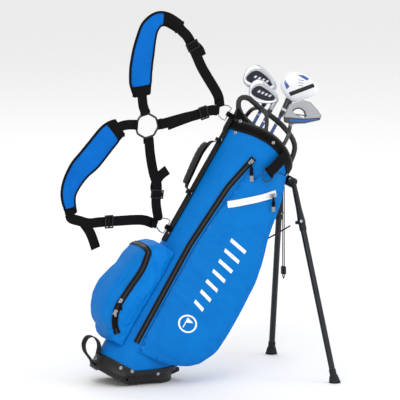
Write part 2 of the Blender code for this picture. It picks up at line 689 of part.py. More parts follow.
def build_side_pocket():
    rings = []
    panel = (0.0, 0.15, 0.35, 0.55, 0.75, 0.9, 1.0)
    for level, _, _, gusset in POCKET_CORNER:
        w = pocket_level(level)
        edge = zip_angle(w) - (ZIP_WIDTH / 2.0 + 1.5 * MM) / HALF_WIDTH
        gusset = math.radians(min(gusset, math.degrees(edge) - 3.0))
        inside = GAP + (GUSSET_CLEAR if level < 131 else 0.4 * MM)
        inner = [shell(lerp(gusset, edge, k / 12.0), w, inside) for k in range(13)]
        rings.append([pocket_panel(s, w) for s in panel] + inner)
    add_mesh("side_pocket", "blue_nylon", loft(rings), BAG)

    low, high = pocket_level(103), pocket_level(638)
    path, sides = [], []
    for k in range(13):
        w = lerp(low, high, k / 12.0)
        angle = zip_angle(w)
        path.append(shell(angle, w, GAP + ZIP_THICK / 2.0 + 0.6 * MM))
        sides.append((shell(angle - 0.05, w) - shell(angle + 0.05, w)).normalized())
    add_mesh("side_zip", "black_web", strap(path, ZIP_WIDTH, ZIP_THICK, sides), BAG)
    build_small_zip()


def small_zip_line():
    """Ends and outward direction of the straight pale zip across the side pocket."""
    low = pocket_panel(0.09, pocket_level(508))
    high = pocket_panel(0.80, pocket_level(588))
    middle = pocket_panel(0.52, pocket_level(544))
    ahead = (high - low).normalized()
    outward = (middle + ACROSS * -20.0 * MM - middle)
    outward = (outward - ahead * outward.dot(ahead)).normalized()
    spots = [
        pocket_panel(lerp(0.06, 0.84, k / 12.0), lerp(low.z, high.z, k / 12.0) + rise)
        for k in range(13) for rise in (-PALE_ZIP_WIDTH * 0.6, 0.0, PALE_ZIP_WIDTH * 0.6)
    ]
    lift = max((spot - low).dot(outward) for spot in spots) + ZIP_THICK / 2.0 + GAP
    return low + outward * lift, high + outward * lift, outward


def build_small_zip():
    low, high, outward = small_zip_line()
    side = outward.cross(high - low).normalized()
    add_mesh("valuables_zip", "white_coat",
             strap([low, low.lerp(high, 0.5), high], PALE_ZIP_WIDTH, ZIP_THICK, side), BAG)


# ------------------------------------------------------------------------------------------------------------
# Ball pocket at the rear
# ------------------------------------------------------------------------------------------------------------
BALL_REAR = (           # height above the pocket's lower edge, how far its back stands from the bag
    (0, 12), (23, 28), (35, 48), (56, 66), (87, 77), (120, 78), (151, 71), (181, 63), (207, 59),
    (233, 52), (253, 38), (269, 12),
)


def ball_ring(height, reach):
    w = BALL_BOTTOM + height * BALL_HEIGHT / (269.0 * MM)
    rear = rear_u(w) - reach
    width = BALL_HALF * min(1.0, 0.80 + reach / (200.0 * MM))
    corner = min(26.0 * MM, reach * 0.6)
    near = [shell(math.radians(a), w, GAP + 0.4 * MM) for a in (180.0, 170.0, 160.0, 150.0, 140.0)]
    root = near[-1]
    edge = [
        Vector((lerp(root.x, rear + corner, 0.35), -lerp(-root.y, width, 0.6), w)),
        Vector((rear + corner, -width, w)),
        Vector((rear + corner * 0.3, -width + corner * 0.3, w)),
        Vector((rear, -width + corner, w)),
    ]
    outline = near[1:] + edge
    mirrored = [Vector((p.x, -p.y, p.z)) for p in reversed(outline)]
    return outline + [Vector((rear - 2.0 * MM, 0.0, w))] + mirrored + [near[0]]


def build_ball_pocket():
    rings = [ball_ring(height * MM, reach * MM) for height, reach in BALL_REAR]
    add_mesh("ball_pocket", "blue_nylon", loft(rings), BAG)

    side = -(BALL_HALF + ZIP_THICK / 2.0 + 1.2 * MM)
    stretch = BALL_HEIGHT / (269.0 * MM)
    rear_shift = rear_u(BALL_BOTTOM) + 85.5 * MM

    def spot(u, v, w):
        return Vector((u * MM + rear_shift, v, BALL_BOTTOM + (w * MM - 76.0 * MM) * stretch))

    half = [
        spot(-100, side, 98), spot(-119, side, 113), spot(-131, side, 138), spot(-136, side, 164),
        spot(-131, side, 205), spot(-125, side, 240), spot(-124, side, 275), spot(-131, side, 305),
        spot(-139, side + 6.0 * MM, 321), spot(-143, side + 22.0 * MM, 326), spot(-145, side + 45.0 * MM, 327),
    ]
    path = half + [Vector((p.x, -p.y, p.z)) for p in reversed(half)]
    rear = Vector((-0.72, 0.0, 0.69))
    outward = [Vector((0.0, -1.0, 0.0))] * 8 + [Vector((-0.4, -0.8, 0.4)), Vector((-0.6, -0.4, 0.6)), rear]
    outward += [Vector((n.x, -n.y, n.z)) for n in reversed(outward)]
    sides = []
    for i, point in enumerate(path):
        ahead = path[min(i + 1, len(path) - 1)] - path[max(i - 1, 0)]
        sides.append(outward[i].cross(ahead).normalized())
    add_mesh("ball_pocket_zip", "black_web", strap(path, ZIP_WIDTH, ZIP_THICK, sides), BAG)


# ------------------------------------------------------------------------------------------------------------
# Zip sliders and their pulls
# ------------------------------------------------------------------------------------------------------------
SLIDER_LENGTH = 14.0 * MM
SLIDER_WIDTH = 9.0 * MM
SLIDER_HEIGHT = 4.0 * MM
PULL_WIDTH = 9.0 * MM
PULL_THICK = 3.0 * MM


def oriented(local_bm, place, ahead, outward):
    """Move a bmesh drawn with x ahead and z outward to its place on a surface."""
    ahead = (ahead - outward * ahead.dot(outward)).normalized()
    turn = Matrix((ahead, outward.cross(ahead), outward)).transposed().to_4x4()
    bmesh.ops.transform(local_bm, verts=local_bm.verts, matrix=Matrix.Translation(place) @ turn)
    return local_bm


def slider_body():
    return box((-SLIDER_LENGTH / 2.0, -SLIDER_WIDTH / 2.0, 0.0), (SLIDER_LENGTH / 2.0, SLIDER_WIDTH / 2.0,
                                                                SLIDER_HEIGHT))


def add_slider(name, place, ahead, outward, pull_name, pull_direction, pull_length):
    """A slider on its zip; its pull is a piece of its own, or part of the slider without a name."""
    outward = outward.normalized()
    place = place + outward * (ZIP_THICK / 2.0 + 0.4 * MM)
    slider = add_mesh(name, "steel", oriented(slider_body(), place, ahead, outward), BAG, origin=place)
    joint = place + outward * (SLIDER_HEIGHT + PULL_THICK / 2.0 + 0.5 * MM)
    lift = -(PULL_THICK / 2.0 + 1.0 * MM) if not pull_name else 0.0
    pull = loft([[Vector((x, s * wide / 2.0, z + lift)) for s, z in (
        (-1, -PULL_THICK / 2.0), (1, -PULL_THICK / 2.0), (1, PULL_THICK / 2.0), (-1, PULL_THICK / 2.0))]
        for x, wide in ((-1.0 * MM, 5.0 * MM), (12.0 * MM, 5.0 * MM), (16.0 * MM, PULL_WIDTH),
                        (pull_length, PULL_WIDTH))])
    pull = oriented(pull, joint, pull_direction, outward)
    if pull_name:
        add_mesh(pull_name, "black_web", pull, BAG, origin=joint)
    else:
        boolean(slider, add_mesh(f"{name}_tab", "", pull, BAG, cutter=True), "UNION")
    return place, joint


def build_sliders():
    w = pocket_level(626)
    angle = zip_angle(w)
    place = shell(angle, w, GAP + ZIP_THICK + 0.6 * MM)
    outward = Vector((math.cos(angle) / half_depth(w), -math.sin(angle) / HALF_WIDTH, 0.0)).normalized()
    ahead = shell(zip_angle(w - 40.0 * MM), w - 40.0 * MM) - shell(angle, w)
    down = TO_BAG.to_3x3() @ Vector((0.0, 0.0, -1.0))
    add_slider("side_zip_slider", place, ahead, outward, "side_zip_pull", down, 48.0 * MM)

    low, high, outward = small_zip_line()
    place = high.lerp(low, 0.09)
    add_slider("valuables_zip_slider", place, low - high, outward, "valuables_zip_pull", down, 40.0 * MM)

    side = -(BALL_HALF + ZIP_THICK / 2.0 + 1.2 * MM)
    stretch = BALL_HEIGHT / (269.0 * MM)
    for name, u, w, length in (("ball_zip_slider_upper", -138.0, 172.0, 22.0),
                               ("ball_zip_slider_lower", -136.0, 142.0, 40.0)):
        spot = Vector((u * MM + rear_u(BALL_BOTTOM) + 85.5 * MM, side, BALL_BOTTOM + (w - 76.0) * MM * stretch))
        add_slider(name, spot, ALONG, Vector((0.0, -1.0, 0.0)), "", down, length * MM)


# ------------------------------------------------------------------------------------------------------------
# Spine, handle and harness
# ------------------------------------------------------------------------------------------------------------
SPINE_STEP = 14.0 * MM              # length over which the strip steps up onto the collar


def spine_u(w):
    """Back surface of the spine strip, which follows the bag and then the collar."""
    step = rim_w(math.pi) - COLLAR_HEIGHT - SPINE_STEP
    rise = min(max((w - step) / (SPINE_STEP - 1.0 * MM), 0.0), 1.0) * (COLLAR_THICK + GAP)
    return rear_u(w, GAP + 0.4 * MM + rise + SPINE_THICK)


RING_AXIS_U = spine_u(RING_LOW) - RING_AXIS_OUT
RING_TOP = BAG_LENGTH + RING_TOP_RISE


def tunnel(axis_u, w, tall):
    """A webbing loop on the spine that a D-ring's bar turns in, and its bore."""
    reach = 5.0 * MM
    body = box((axis_u - reach, -8.0 * MM, w - tall / 2.0), (spine_u(w) + 1.5 * MM, 8.0 * MM, w + tall / 2.0))
    bore = cone((axis_u, 0, w - tall), (axis_u, 0, w + tall), D_WIRE + 0.5 * MM, D_WIRE + 0.5 * MM, 12)
    return body, bore


def build_spine():
    top = RING_TOP + 7.0 * MM
    step = rim_w(math.pi) - COLLAR_HEIGHT
    levels = (SPINE_BOTTOM, lerp(SPINE_BOTTOM, step, 0.33), lerp(SPINE_BOTTOM, step, 0.66), step - SPINE_STEP,
              step - 1.0 * MM, top)
    path = [Vector((spine_u(w) + SPINE_THICK / 2.0, 0.0, w)) for w in levels]
    spine = add_mesh("spine_strip", "black_web",
                     strap(path, [SPINE_WIDTH] * 5 + [SPINE_WIDTH * 0.7], SPINE_THICK), BAG)
    for label, w in (("low", RING_LOW), ("top", RING_TOP)):
        body, bore = tunnel(RING_AXIS_U, w, 12.0 * MM)
        boolean(spine, add_mesh(f"tunnel_{label}", "", body, BAG, cutter=True), "UNION")
        boolean(spine, add_mesh(f"tunnel_bore_{label}", "", bore, BAG, cutter=True), "DIFFERENCE")
    for label, w in (("high", handle_axis()[0].z + 7.0 * MM), ("low", handle_axis()[1].z - 7.0 * MM)):
        tab = box((spine_u(w) - 8.0 * MM, -10.0 * MM, w - 5.0 * MM), (spine_u(w) + 1.5 * MM, 10.0 * MM,
                                                                   w + 5.0 * MM))
        boolean(spine, add_mesh(f"handle_tab_{label}", "", tab, BAG, cutter=True), "UNION")


def handle_axis():
    """Upper and lower ends of the line that the carry handle swings about."""
    high = BAG_LENGTH - HANDLE_TOP_DROP
    low = high - HANDLE_LENGTH
    return Vector((spine_u(high) - 4.0 * MM, 0.0, high)), Vector((spine_u(low) - 4.0 * MM, 0.0, low))


def build_handle():
    high, low = handle_axis()
    span = low - high

    def spot(share, out):
        return high + span * share + Vector((-out * MM, 0.0, 0.0))

    bow = [spot(0.0, 0), spot(0.02, 11), spot(0.1, 17.5), spot(0.3, 21), spot(0.5, 19.5), spot(0.72, 17),
           spot(0.95, 14), spot(1.01, 9), spot(1.0, 0)]
    widths = [5.0 * MM, 14.0 * MM] + [20.0 * MM] * 5 + [14.0 * MM, 5.0 * MM]
    add_mesh("handle_strap", "black_web", strap(bow, widths, 2.0 * MM), BAG, origin=high)
    grip = [spot(0.1, 24.5), spot(0.16, 26.6), spot(0.3, 29), spot(0.5, 27.5), spot(0.72, 24.5), spot(0.9, 22),
            spot(0.95, 20.5)]
    sizes = [(10.0 * MM, 3.5 * MM), (12.0 * MM, 5.5 * MM), (13.0 * MM, 6.5 * MM), (13.0 * MM, 6.5 * MM),
             (13.0 * MM, 6.0 * MM), (12.0 * MM, 5.0 * MM), (10.0 * MM, 3.5 * MM)]
    add_mesh("handle_grip", "black_plastic", stations(grip, sizes, 12, Vector((1.0, 0.0, 0.0))), BAG,
             origin=high)


def harness_point(u, w):
    """A harness point in millimetres from the lower D-ring's axis, fitted to the bag's own D-rings."""
    span = RING_TOP - RING_LOW
    return Vector((RING_AXIS_U + (u + 91.0) * MM, 0.0, RING_LOW + (w - 389.0) * MM * span / HARNESS_SPAN))


def in_plane(path):
    """For each point of a path, the direction across it in the bag's middle plane."""
    directions = []
    for i in range(len(path)):
        ahead = path[min(i + 1, len(path) - 1)] - path[max(i - 1, 0)]
        directions.append(Vector((ahead.z, 0.0, -ahead.x)).normalized())
    return directions


def web(points, lane=0.0):
    """A path and its webbing, which lies flat beside the bag's middle plane at a distance of lane."""
    path = smooth([harness_point(u, w) + ACROSS * lane for u, w in points], 2)
    return path, strap(path, WEB_WIDTH, WEB_THICK, in_plane(path))


def build_pad(name, points, widths, link):
    """A shoulder pad and the webbing that joins it to the ring, sewn into one piece."""
    path = smooth([harness_point(u, w) for u, w in points], 2)
    rows = list(enumerate(widths))
    up = ACROSS * PAD_THICK / 2.0
    rings = []
    for k, (point, flat) in enumerate(zip(path, in_plane(path))):
        across = flat * table(rows, k / 2.0) * MM / 2.0
        rings.append([point - across, point - across * 0.9 - up, point + across * 0.9 - up,
                      point + across, point + across * 0.9 + up, point - across * 0.9 + up])
    pad = add_mesh(name, "blue_nylon", loft(rings), BAG, origin=Vector((RING_AXIS_U, 0.0, RING_LOW)))
    _, lead = web(link)
    boolean(pad, add_mesh(f"{name}_lead", "", lead, BAG, cutter=True), "UNION")


def build_lock(name, path, index):
    """A ladder lock, a flat frame that lies on the near face of its webbing."""
    ahead = (path[index + 1] - path[index - 1]).normalized()
    across = Vector((ahead.z, 0.0, -ahead.x))
    half_long, half_wide = LOCK_LENGTH / 2.0, WEB_WIDTH / 2.0 + LOCK_SIDE
    low = WEB_THICK / 2.0 + GAP
    frame = loft([[
        path[index] + ahead * (x * half_long) + across * (s * half_wide) - ACROSS * z
        for s, z in ((-1, low), (-1, low + LOCK_THICK), (1, low + LOCK_THICK), (1, low))
    ] for x in (-1.0, -0.5, 0.5, 1.0)])
    add_mesh(name, "black_plastic", frame, BAG, origin=Vector((RING_AXIS_U, 0.0, RING_LOW)))


def build_d_ring(name, w):
    axis = Vector((RING_AXIS_U, 0.0, w))
    half = 17.0 * MM
    deep = 30.0 * MM
    corners = [(0.0, -1.0), (0.0, -0.45), (0.0, 0.0), (0.0, 0.45), (0.0, 1.0), (-0.35, 1.06), (-0.75, 0.8),
               (-1.0, 0.3), (-1.0, -0.3), (-0.75, -0.8), (-0.35, -1.06)]
    points = [axis + Vector((a * deep, 0.0, b * half)) for a, b in corners]
    rod(name, "steel", points, D_WIRE, BAG, origin=axis, cyclic=True)


def build_harness():
    axis = Vector((RING_AXIS_U, 0.0, RING_LOW))
    centre = harness_point(-268, 581)
    ring = [centre + Vector((math.cos(a), 0.0, math.sin(a))) * 29.0 * MM
            for a in (math.radians(22.5 + 45.0 * k) for k in range(8))]
    rod("harness_ring", "dark_metal", ring, 2.25 * MM, BAG, origin=axis, cyclic=True)
    build_pad("harness_pad_upper", [
        (-319, 641), (-339, 667), (-356, 698), (-371, 735), (-382, 768), (-387, 795), (-379, 820), (-360, 832),
        (-335, 833), (-316, 831),
    ], [40, 54, 56, 54, 48, 44, 34, 26, 34, 34], [(-291, 610), (-303, 620), (-316, 637), (-330, 655)])
    build_pad("harness_pad_lower", [
        (-331, 545), (-345, 515), (-359, 445), (-370, 406), (-371, 364), (-361, 333), (-334, 303),
    ], [44, 58, 60, 54, 44, 34, 24], [(-298, 569), (-315, 560), (-330, 547), (-338, 530)])

    near, far = -WEB_LANE, WEB_LANE
    webs = {
        "top": (far, 3, [(-307, 827), (-281, 819), (-243, 794), (-206, 769), (-142, 735), (-123, 716)]),
        "upper": (near, 7, [(-240, 600), (-222, 616), (-192, 643), (-168, 663), (-140, 690), (-123, 699)]),
        "lower": (near, 7, [(-246, 553), (-224, 523), (-195, 490), (-168, 465), (-150, 429), (-124, 397)]),
        "bottom": (far, 7, [(-325, 293), (-304, 297), (-279, 303), (-255, 318), (-210, 345), (-158, 374),
                            (-124, 381)]),
    }
    tails = {
        "top": [(-264, 812), (-241, 807), (-224, 796)],
        "upper": [(-160, 671), (-185, 645), (-206, 622), (-220, 606)],
        "lower": [(-156, 446), (-172, 462), (-173, 488), (-162, 512)],
        "bottom": [(-296, 300), (-272, 290), (-252, 278), (-227, 258)],
    }
    for place, (lane, lock_index, points) in webs.items():
        path, body = web(points, lane)
        build_lock(f"ladder_lock_{place}", path, lock_index)
        made = add_mesh(f"harness_web_{place}", "black_web", body, BAG, origin=axis)
        _, tail = web(tails[place], lane + WEB_THICK / 2.0)
        boolean(made, add_mesh(f"harness_tail_{place}", "", tail, BAG, cutter=True), "UNION")
    build_d_ring("d_ring_upper", RING_TOP)
    build_d_ring("d_ring_lower", RING_LOW)


# ------------------------------------------------------------------------------------------------------------
# Small hardware: grab loop, towel loop and ring, tie cord
# ------------------------------------------------------------------------------------------------------------
def build_grab_loop():
    cup_rear = rear_u(CUP_HEEL, GAP + CUP_WALL + GAP)

    def spot(out, w):
        return Vector((cup_rear - out * MM, 0.0, w * MM))

    path = smooth([spot(1.6, 34), spot(8, 52), spot(20, 63), spot(36, 66), spot(48, 58), spot(48, 40),
                   spot(36, 25), spot(20, 18), spot(7, 12), spot(1.6, 6)], 2)
    add_mesh("grab_loop", "black_web", strap(path, WEB_WIDTH, 2.4 * MM), BAG)


TOWEL_TOP_ANGLE = math.radians(69.0)
TOWEL_ANGLE = math.radians(82.0)
TOWEL_DROP = 74.0 * MM
TOWEL_OUT = 17.0 * MM


def towel_axis():
    """Where the towel loop starts, the centre and direction of its ring's bar, and the way out."""
    w = rim_w(TOWEL_ANGLE) - TOWEL_DROP
    place = shell(TOWEL_ANGLE, w, TOWEL_OUT)
    start = shell(TOWEL_TOP_ANGLE, rim_w(TOWEL_TOP_ANGLE) - 8.0 * MM, GAP + COLLAR_THICK + 3.5 * MM)
    along = (start - place).normalized()
    outward = Vector((math.cos(TOWEL_ANGLE) / half_depth(w), -math.sin(TOWEL_ANGLE) / HALF_WIDTH, 0.0))
    outward = (outward - along * outward.dot(along)).normalized()
    return start, place, outward.cross(along), outward


def build_towel_ring():
    start, place, across, outward = towel_axis()
    path = [start, start.lerp(place, 0.3) + outward * 2.5 * MM, start.lerp(place, 0.7) + outward * 2.0 * MM,
            place.lerp(start, 0.07)]
    loop = add_mesh("towel_loop", "black_web", strap(path, 28.0 * MM, 2.4 * MM, across), BAG)
    sleeve = cone(place - across * 14.0 * MM, place + across * 14.0 * MM, 5.0 * MM, 5.0 * MM, 12)
    boolean(loop, add_mesh("towel_sleeve", "", sleeve, BAG, cutter=True), "UNION")
    bore = cone(place - across * 20.0 * MM, place + across * 20.0 * MM, 2.6 * MM, 2.6 * MM, 12)
    boolean(loop, add_mesh("towel_bore", "", bore, BAG, cutter=True), "DIFFERENCE")

    down = TO_BAG.to_3x3() @ Vector((0.0, 0.0, -1.0))
    down = (down - across * down.dot(across)).normalized()
    down = (down + outward * 0.35).normalized()
    points = [place - across * 17.0 * MM, place, place + across * 17.0 * MM]
    for k in range(1, 8):
        turn = math.pi * k / 8.0
        points.append(place + across * 17.5 * MM * math.cos(turn) + down * 30.0 * MM * math.sin(turn))
    rod("towel_ring", "dark_metal", points, 1.6 * MM, BAG, origin=place, cyclic=True)


CORD_RADIUS = 1.25 * MM
CORD_DROP = 234.0 * MM
CORD_EXIT_U = 128.0 * MM


def build_tie_cord():
    """An elastic cord, doubled, that hangs from the bracket with a toggle around both strands."""
    exit_w = BAG_LENGTH - LEG_PIVOT_DROP - BRACKET_LOW
    exit_point = TO_WORLD @ Vector((CORD_EXIT_U, 0.0, exit_w))
    x, z = exit_point.x, exit_point.z - CORD_RADIUS - 0.6 * MM
    low = z - CORD_DROP
    strand = [(4.6, z), (5.0, z - 20 * MM), (5.0, z - 80 * MM), (5.0, z - 150 * MM), (5.0, low + 12 * MM),
              (4.2, low + 4.5 * MM)]
    route = [(-b, c) for b, c in strand] + [(0.0, low)] + list(reversed(strand))
    points = [TO_BAG @ Vector((x, b * MM, c)) for b, c in route]
    rod("tie_cord", "black_web", smooth(points, 3), CORD_RADIUS, BAG, resolution=1)

    middle = Vector((x, 0.0, low + 20.0 * MM))
    outer, inner, tall = (10.5 * MM, 6.0 * MM), (7.6 * MM, 2.4 * MM), 9.0 * MM
    rings = []
    for (wide, deep), rise in ((outer, -tall), (outer, tall), (inner, tall), (inner, -tall)):
        rings.append([
            TO_BAG @ (middle + Vector((deep * math.cos(a), wide * math.sin(a), rise)))
            for a in (2.0 * math.pi * k / 16 for k in range(16))
        ])
    add_mesh("cord_toggle", "black_plastic", loft(rings, closed=True), BAG, origin=TO_BAG @ middle)


# ------------------------------------------------------------------------------------------------------------
# Clubs
# ------------------------------------------------------------------------------------------------------------
def club_frame(name, u, v):
    return empty(f"{name}_axis", BAG, location=(u, v, 0.0), rotation=(0.0, 0.0, FACE_TURN))


def outline(points, top):
    """Head outline points, x across the head and w from the bag's mouth level, in millimetres."""
    return [Vector((x * MM, 0.0, top + w * MM)) for x, w in points]


def plate(points, back, front, taper=0.92):
    """A head's slab between two depths, with a smaller outline on its faces so that its edge is round."""
    middle = sum(points, Vector()) / len(points)
    depth = front - back
    rings = []
    for share, size in ((0.0, taper), (0.22, 1.0), (0.78, 1.0), (1.0, taper)):
        rings.append([middle + (p - middle) * size + Vector((0.0, back + depth * share, 0.0)) for p in points])
    return loft(rings)


def build_shaft_and_grip(name, look, axis, u, top):
    seat = floor_w(u + GRIP_BUTT) + CUP_FLOOR + GRIP_CLEAR
    grip_end = seat + GRIP_LENGTH
    add_mesh(f"{name}_grip", "rubber", cone((0, 0, seat), (0, 0, grip_end), GRIP_BUTT, GRIP_TIP, 14), axis)
    add_mesh(f"{name}_shaft", look, cone((0, 0, grip_end + GAP), (0, 0, top), SHAFT_RADIUS, SHAFT_RADIUS, 12),
             axis)


IRON_BACK = ((-78, 128), (-92, 137), (-96, 154), (-94, 170), (-83, 185), (-65, 188), (-43, 182), (-22, 172),
             (-12.6, 164), (-10.5, 154), (-30, 141), (-58, 130))
IRON_BACK_CAVITY = ((-85, 139), (-85, 160), (-76, 172), (-63, 176), (-39, 171), (-22, 161), (-24, 155), (-50, 143))
IRON_FRONT = ((-55, 106), (-63, 115), (-68.6, 131), (-67.4, 144), (-60, 155), (-47, 159), (-31, 156),
              (-10, 150.5), (5, 142), (7.8, 133), (7.2, 126), (-15, 112), (-36, 104))
IRON_FRONT_CAVITY = ((-58, 117.5), (-59, 130), (-52.5, 141), (-42, 145), (-19, 143), (2, 136.5), (1.5, 128),
                     (-18, 117), (-44, 113.6))


def build_iron(name, u, v, across, points, cavity, ferrule):
    """A cavity-backed iron; across is where its shaft stands in the head's outline."""
    axis = club_frame(name, u, v)
    top = BAG_LENGTH
    body = [Vector((p.x - across * MM, p.y, p.z)) for p in outline(points, top)]
    head = add_mesh(f"{name}_head", "white_coat", plate(body, -9.0 * MM, 7.0 * MM), axis)
    neck_top = top + (ferrule + 34.0) * MM
    hosel = cone((0, 0, top + ferrule * MM), (0, 0, neck_top), 5.6 * MM, 7.0 * MM, 14)
    boolean(head, add_mesh(f"{name}_hosel", "", hosel, axis, cutter=True), "UNION")
    inside = [Vector((p.x - across * MM, p.y, p.z)) for p in outline(cavity, top)]
    hollow = loft([[p + Vector((0.0, y, 0.0)) for p in inside] for y in (-14.0 * MM, -4.0 * MM)])
    boolean(head, add_mesh(f"{name}_cavity", "", hollow, axis, cutter=True), "DIFFERENCE")
    build_shaft_and_grip(name, "blue_shaft", axis, u, top + ferrule * MM - GAP)


WOOD_SOLE = ((2, 161.6), (-6, 174), (-7.5, 188), (-4, 201), (7, 213), (24, 221), (45, 222), (65.5, 216),
             (79, 209), (85, 200), (76, 181.6), (57, 160.5), (42.6, 148), (20, 152))


def build_wood(name, u, v, across):
    axis = club_frame(name, u, v)
    top = BAG_LENGTH
    edge = [Vector((p.x - across * MM, p.y, p.z)) for p in outline(WOOD_SOLE, top)]
    middle = sum(edge, Vector()) / len(edge)
    rings = []
    for depth, size in ((-12.0, 0.86), (-8.0, 0.97), (0.0, 1.0), (12.0, 0.97), (24.0, 0.82), (31.0, 0.5),
                        (33.0, 0.2)):
        rings.append([middle + (p - middle) * size + Vector((0.0, depth * MM, 0.0)) for p in edge])
    head = add_mesh(f"{name}_head", "white_coat", loft(rings), axis)
    neck = cone((0, 0, top + 112.0 * MM), (0, 4.0 * MM, top + 168.0 * MM), 6.2 * MM, 13.0 * MM, 14)
    boolean(head, add_mesh(f"{name}_neck", "", neck, axis, cutter=True), "UNION")
    build_shaft_and_grip(name, "blue_shaft", axis, u, top + 112.0 * MM - GAP)


PUTTER_TOP = ((46, 92.4), (38.3, 103), (36.3, 136), (50, 150), (60.6, 162.4), (80, 166.7), (103.6, 158.6),
              (119.8, 150.6), (121, 138.5), (92, 113.5), (64, 97))
PUTTER_WINDOW = ((53, 124), (56, 134), (64, 140), (74, 139), (82, 132), (84, 124))


def build_putter(name, u, v, across):
    axis = club_frame(name, u, v)
    top = BAG_LENGTH
    body = [Vector((p.x - across * MM, p.y, p.z)) for p in outline(PUTTER_TOP, top)]
    head = add_mesh(f"{name}_head", "putter_grey", plate(body, -13.0 * MM, 12.0 * MM, 0.95), axis)
    window = [Vector((p.x - across * MM, p.y, p.z)) for p in outline(PUTTER_WINDOW, top)]
    hollow = loft([[p + Vector((0.0, y, 0.0)) for p in window] for y in (-20.0 * MM, 20.0 * MM)])
    boolean(head, add_mesh(f"{name}_window", "", hollow, axis, cutter=True), "DIFFERENCE")
    neck = stations([(0, 0, top + 44.0 * MM), (0, 0, top + 58.0 * MM), (-2.0 * MM, 0, top + 76.0 * MM),
                     (-8.0 * MM, 0, top + 92.0 * MM), (-9.0 * MM, 0, top + 112.0 * MM)],
                    [5.2 * MM, 5.2 * MM, 4.6 * MM, 5.0 * MM, 6.0 * MM], 12, ACROSS)
    boolean(head, add_mesh(f"{name}_neck", "", neck, axis, cutter=True), "UNION")
    build_shaft_and_grip(name, "steel", axis, u, top + 44.0 * MM - GAP)


def build_clubs():
    build_iron("iron_long", 0.7 * MM, 45.0 * MM, -17.7, IRON_BACK, IRON_BACK_CAVITY, 112.0)
    build_iron("iron_short", 10.2 * MM, 17.0 * MM, 3.6, IRON_FRONT, IRON_FRONT_CAVITY, 102.0)
    build_wood("fairway_wood", 44.4 * MM, 22.0 * MM, 31.5)
    build_putter("putter", 60.0 * MM, -41.0 * MM, 71.5)


build_body()
build_foot()
build_stand()
build_side_pocket()
build_ball_pocket()
build_sliders()
build_spine()
build_handle()
build_harness()
build_grab_loop()
build_towel_ring()
build_tie_cord()
build_clubs()
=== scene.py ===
"""Looks of the golf club set: a leaning stand bag of blue nylon with its harness, stand and four clubs.

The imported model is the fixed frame.  Most pieces are drawn in the bag's own frame, in metres: u points to the
bag's front, v across it to the left-hand side, and w along its axis from the base to the mouth.
"""

import json
import logging
import math
import random
from dataclasses import dataclass, field
from enum import Enum
from typing import Callable, Iterable, Sequence

import bmesh
import bpy
from mathutils import Matrix, Vector, noise
from mathutils.bvhtree import BVHTree


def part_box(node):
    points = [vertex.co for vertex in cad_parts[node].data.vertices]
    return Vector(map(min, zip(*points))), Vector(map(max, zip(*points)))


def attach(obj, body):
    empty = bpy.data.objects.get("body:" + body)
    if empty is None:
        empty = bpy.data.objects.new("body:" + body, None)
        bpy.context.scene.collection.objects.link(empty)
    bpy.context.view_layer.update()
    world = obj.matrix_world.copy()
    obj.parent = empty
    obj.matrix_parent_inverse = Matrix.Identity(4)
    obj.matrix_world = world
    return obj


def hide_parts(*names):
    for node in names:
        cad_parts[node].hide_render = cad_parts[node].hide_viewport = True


LOG = logging.getLogger("golf_club_set")
MM = 0.001
LEAN = math.radians(31.0)
BAG_ORIGIN = Vector((
    -115.0 * MM + 20.0 * MM * math.cos(LEAN) - 12.0 * MM * math.sin(LEAN),
    0.0,
    17.0 * MM - 20.0 * MM * math.sin(LEAN) - 12.0 * MM * math.cos(LEAN),
))
TO_WORLD = Matrix.Translation(BAG_ORIGIN) @ Matrix.Rotation(LEAN, 4, "Y")
TO_BAG = TO_WORLD.inverted()
ACROSS = Vector((0.0, 1.0, 0.0))
ALONG = Vector((0.0, 0.0, 1.0))
FOOT_REACH = 0.37782                  # where each leg stands, in front of the toe pad
FOOT_SPREAD = 0.208                   # and beside the middle plane
Path = list[Vector]


# ------------------------------------------------------------------------------------------------------------
# Finishes
# ------------------------------------------------------------------------------------------------------------
class Pattern(Enum):
    """How a finish's surface is made, which sets its bump and colour pattern."""

    WEAVE = "woven cloth"
    KNIT = "open knit over foam"
    RIBBED = "ribbed webbing"
    COIL = "nylon coil zip"
    GRAIN = "moulded grain"
    BRUSHED = "brushed along its length"
    CAST = "cast and bead-blasted"
    LACQUER = "sprayed lacquer"


@dataclass(frozen=True)
class Finish:
    """One finish, named for what the real surface is.

    Colours are sRGB hex, pitch is the pattern's real spacing and relief its height, both in metres.
    """

    name: str
    slot: str
    colour: str
    shade: str
    pattern: Pattern
    pitch: float
    relief: float
    roughness: float = 0.5
    metallic: float = 0.0
    ior: float = 1.5
    sheen: float = 0.0
    coat: float = 0.0

    def specular(self) -> float:
        """Strength of the mirror-like part: low for cloth and webbing, whose fibres scatter it."""
        if self.pattern in (Pattern.WEAVE, Pattern.KNIT, Pattern.RIBBED, Pattern.COIL):
            return 0.1
        return 0.35 if self.pattern is Pattern.GRAIN else 0.5


# 420-denier nylon: a soft sheen, threads at 1.2 mm so that they show, and a slightly uneven dye.
NYLON = Finish("woven_nylon", "bag_fabric", "#0078CC", "#0067B6", Pattern.WEAVE, 1.2 * MM, 0.10 * MM, 0.58)
# A lighter copy of the same nylon: painted highlight on the raised piping, the zip's welt and the ball pocket's
# gusset.
NYLON_PAINTED_HIGHLIGHT = Finish("woven_nylon_painted_highlight", "bag_fabric", "#0080D8", "#006DC0", Pattern.WEAVE, 1.2 * MM,
                     0.10 * MM, 0.56)
# Spacer mesh over foam: small open cells that break the highlight up.
AIR_MESH = Finish("air_mesh", "pad_fabric", "#006AC6", "#0052A2", Pattern.KNIT, 3.0 * MM, 0.35 * MM, 0.7)
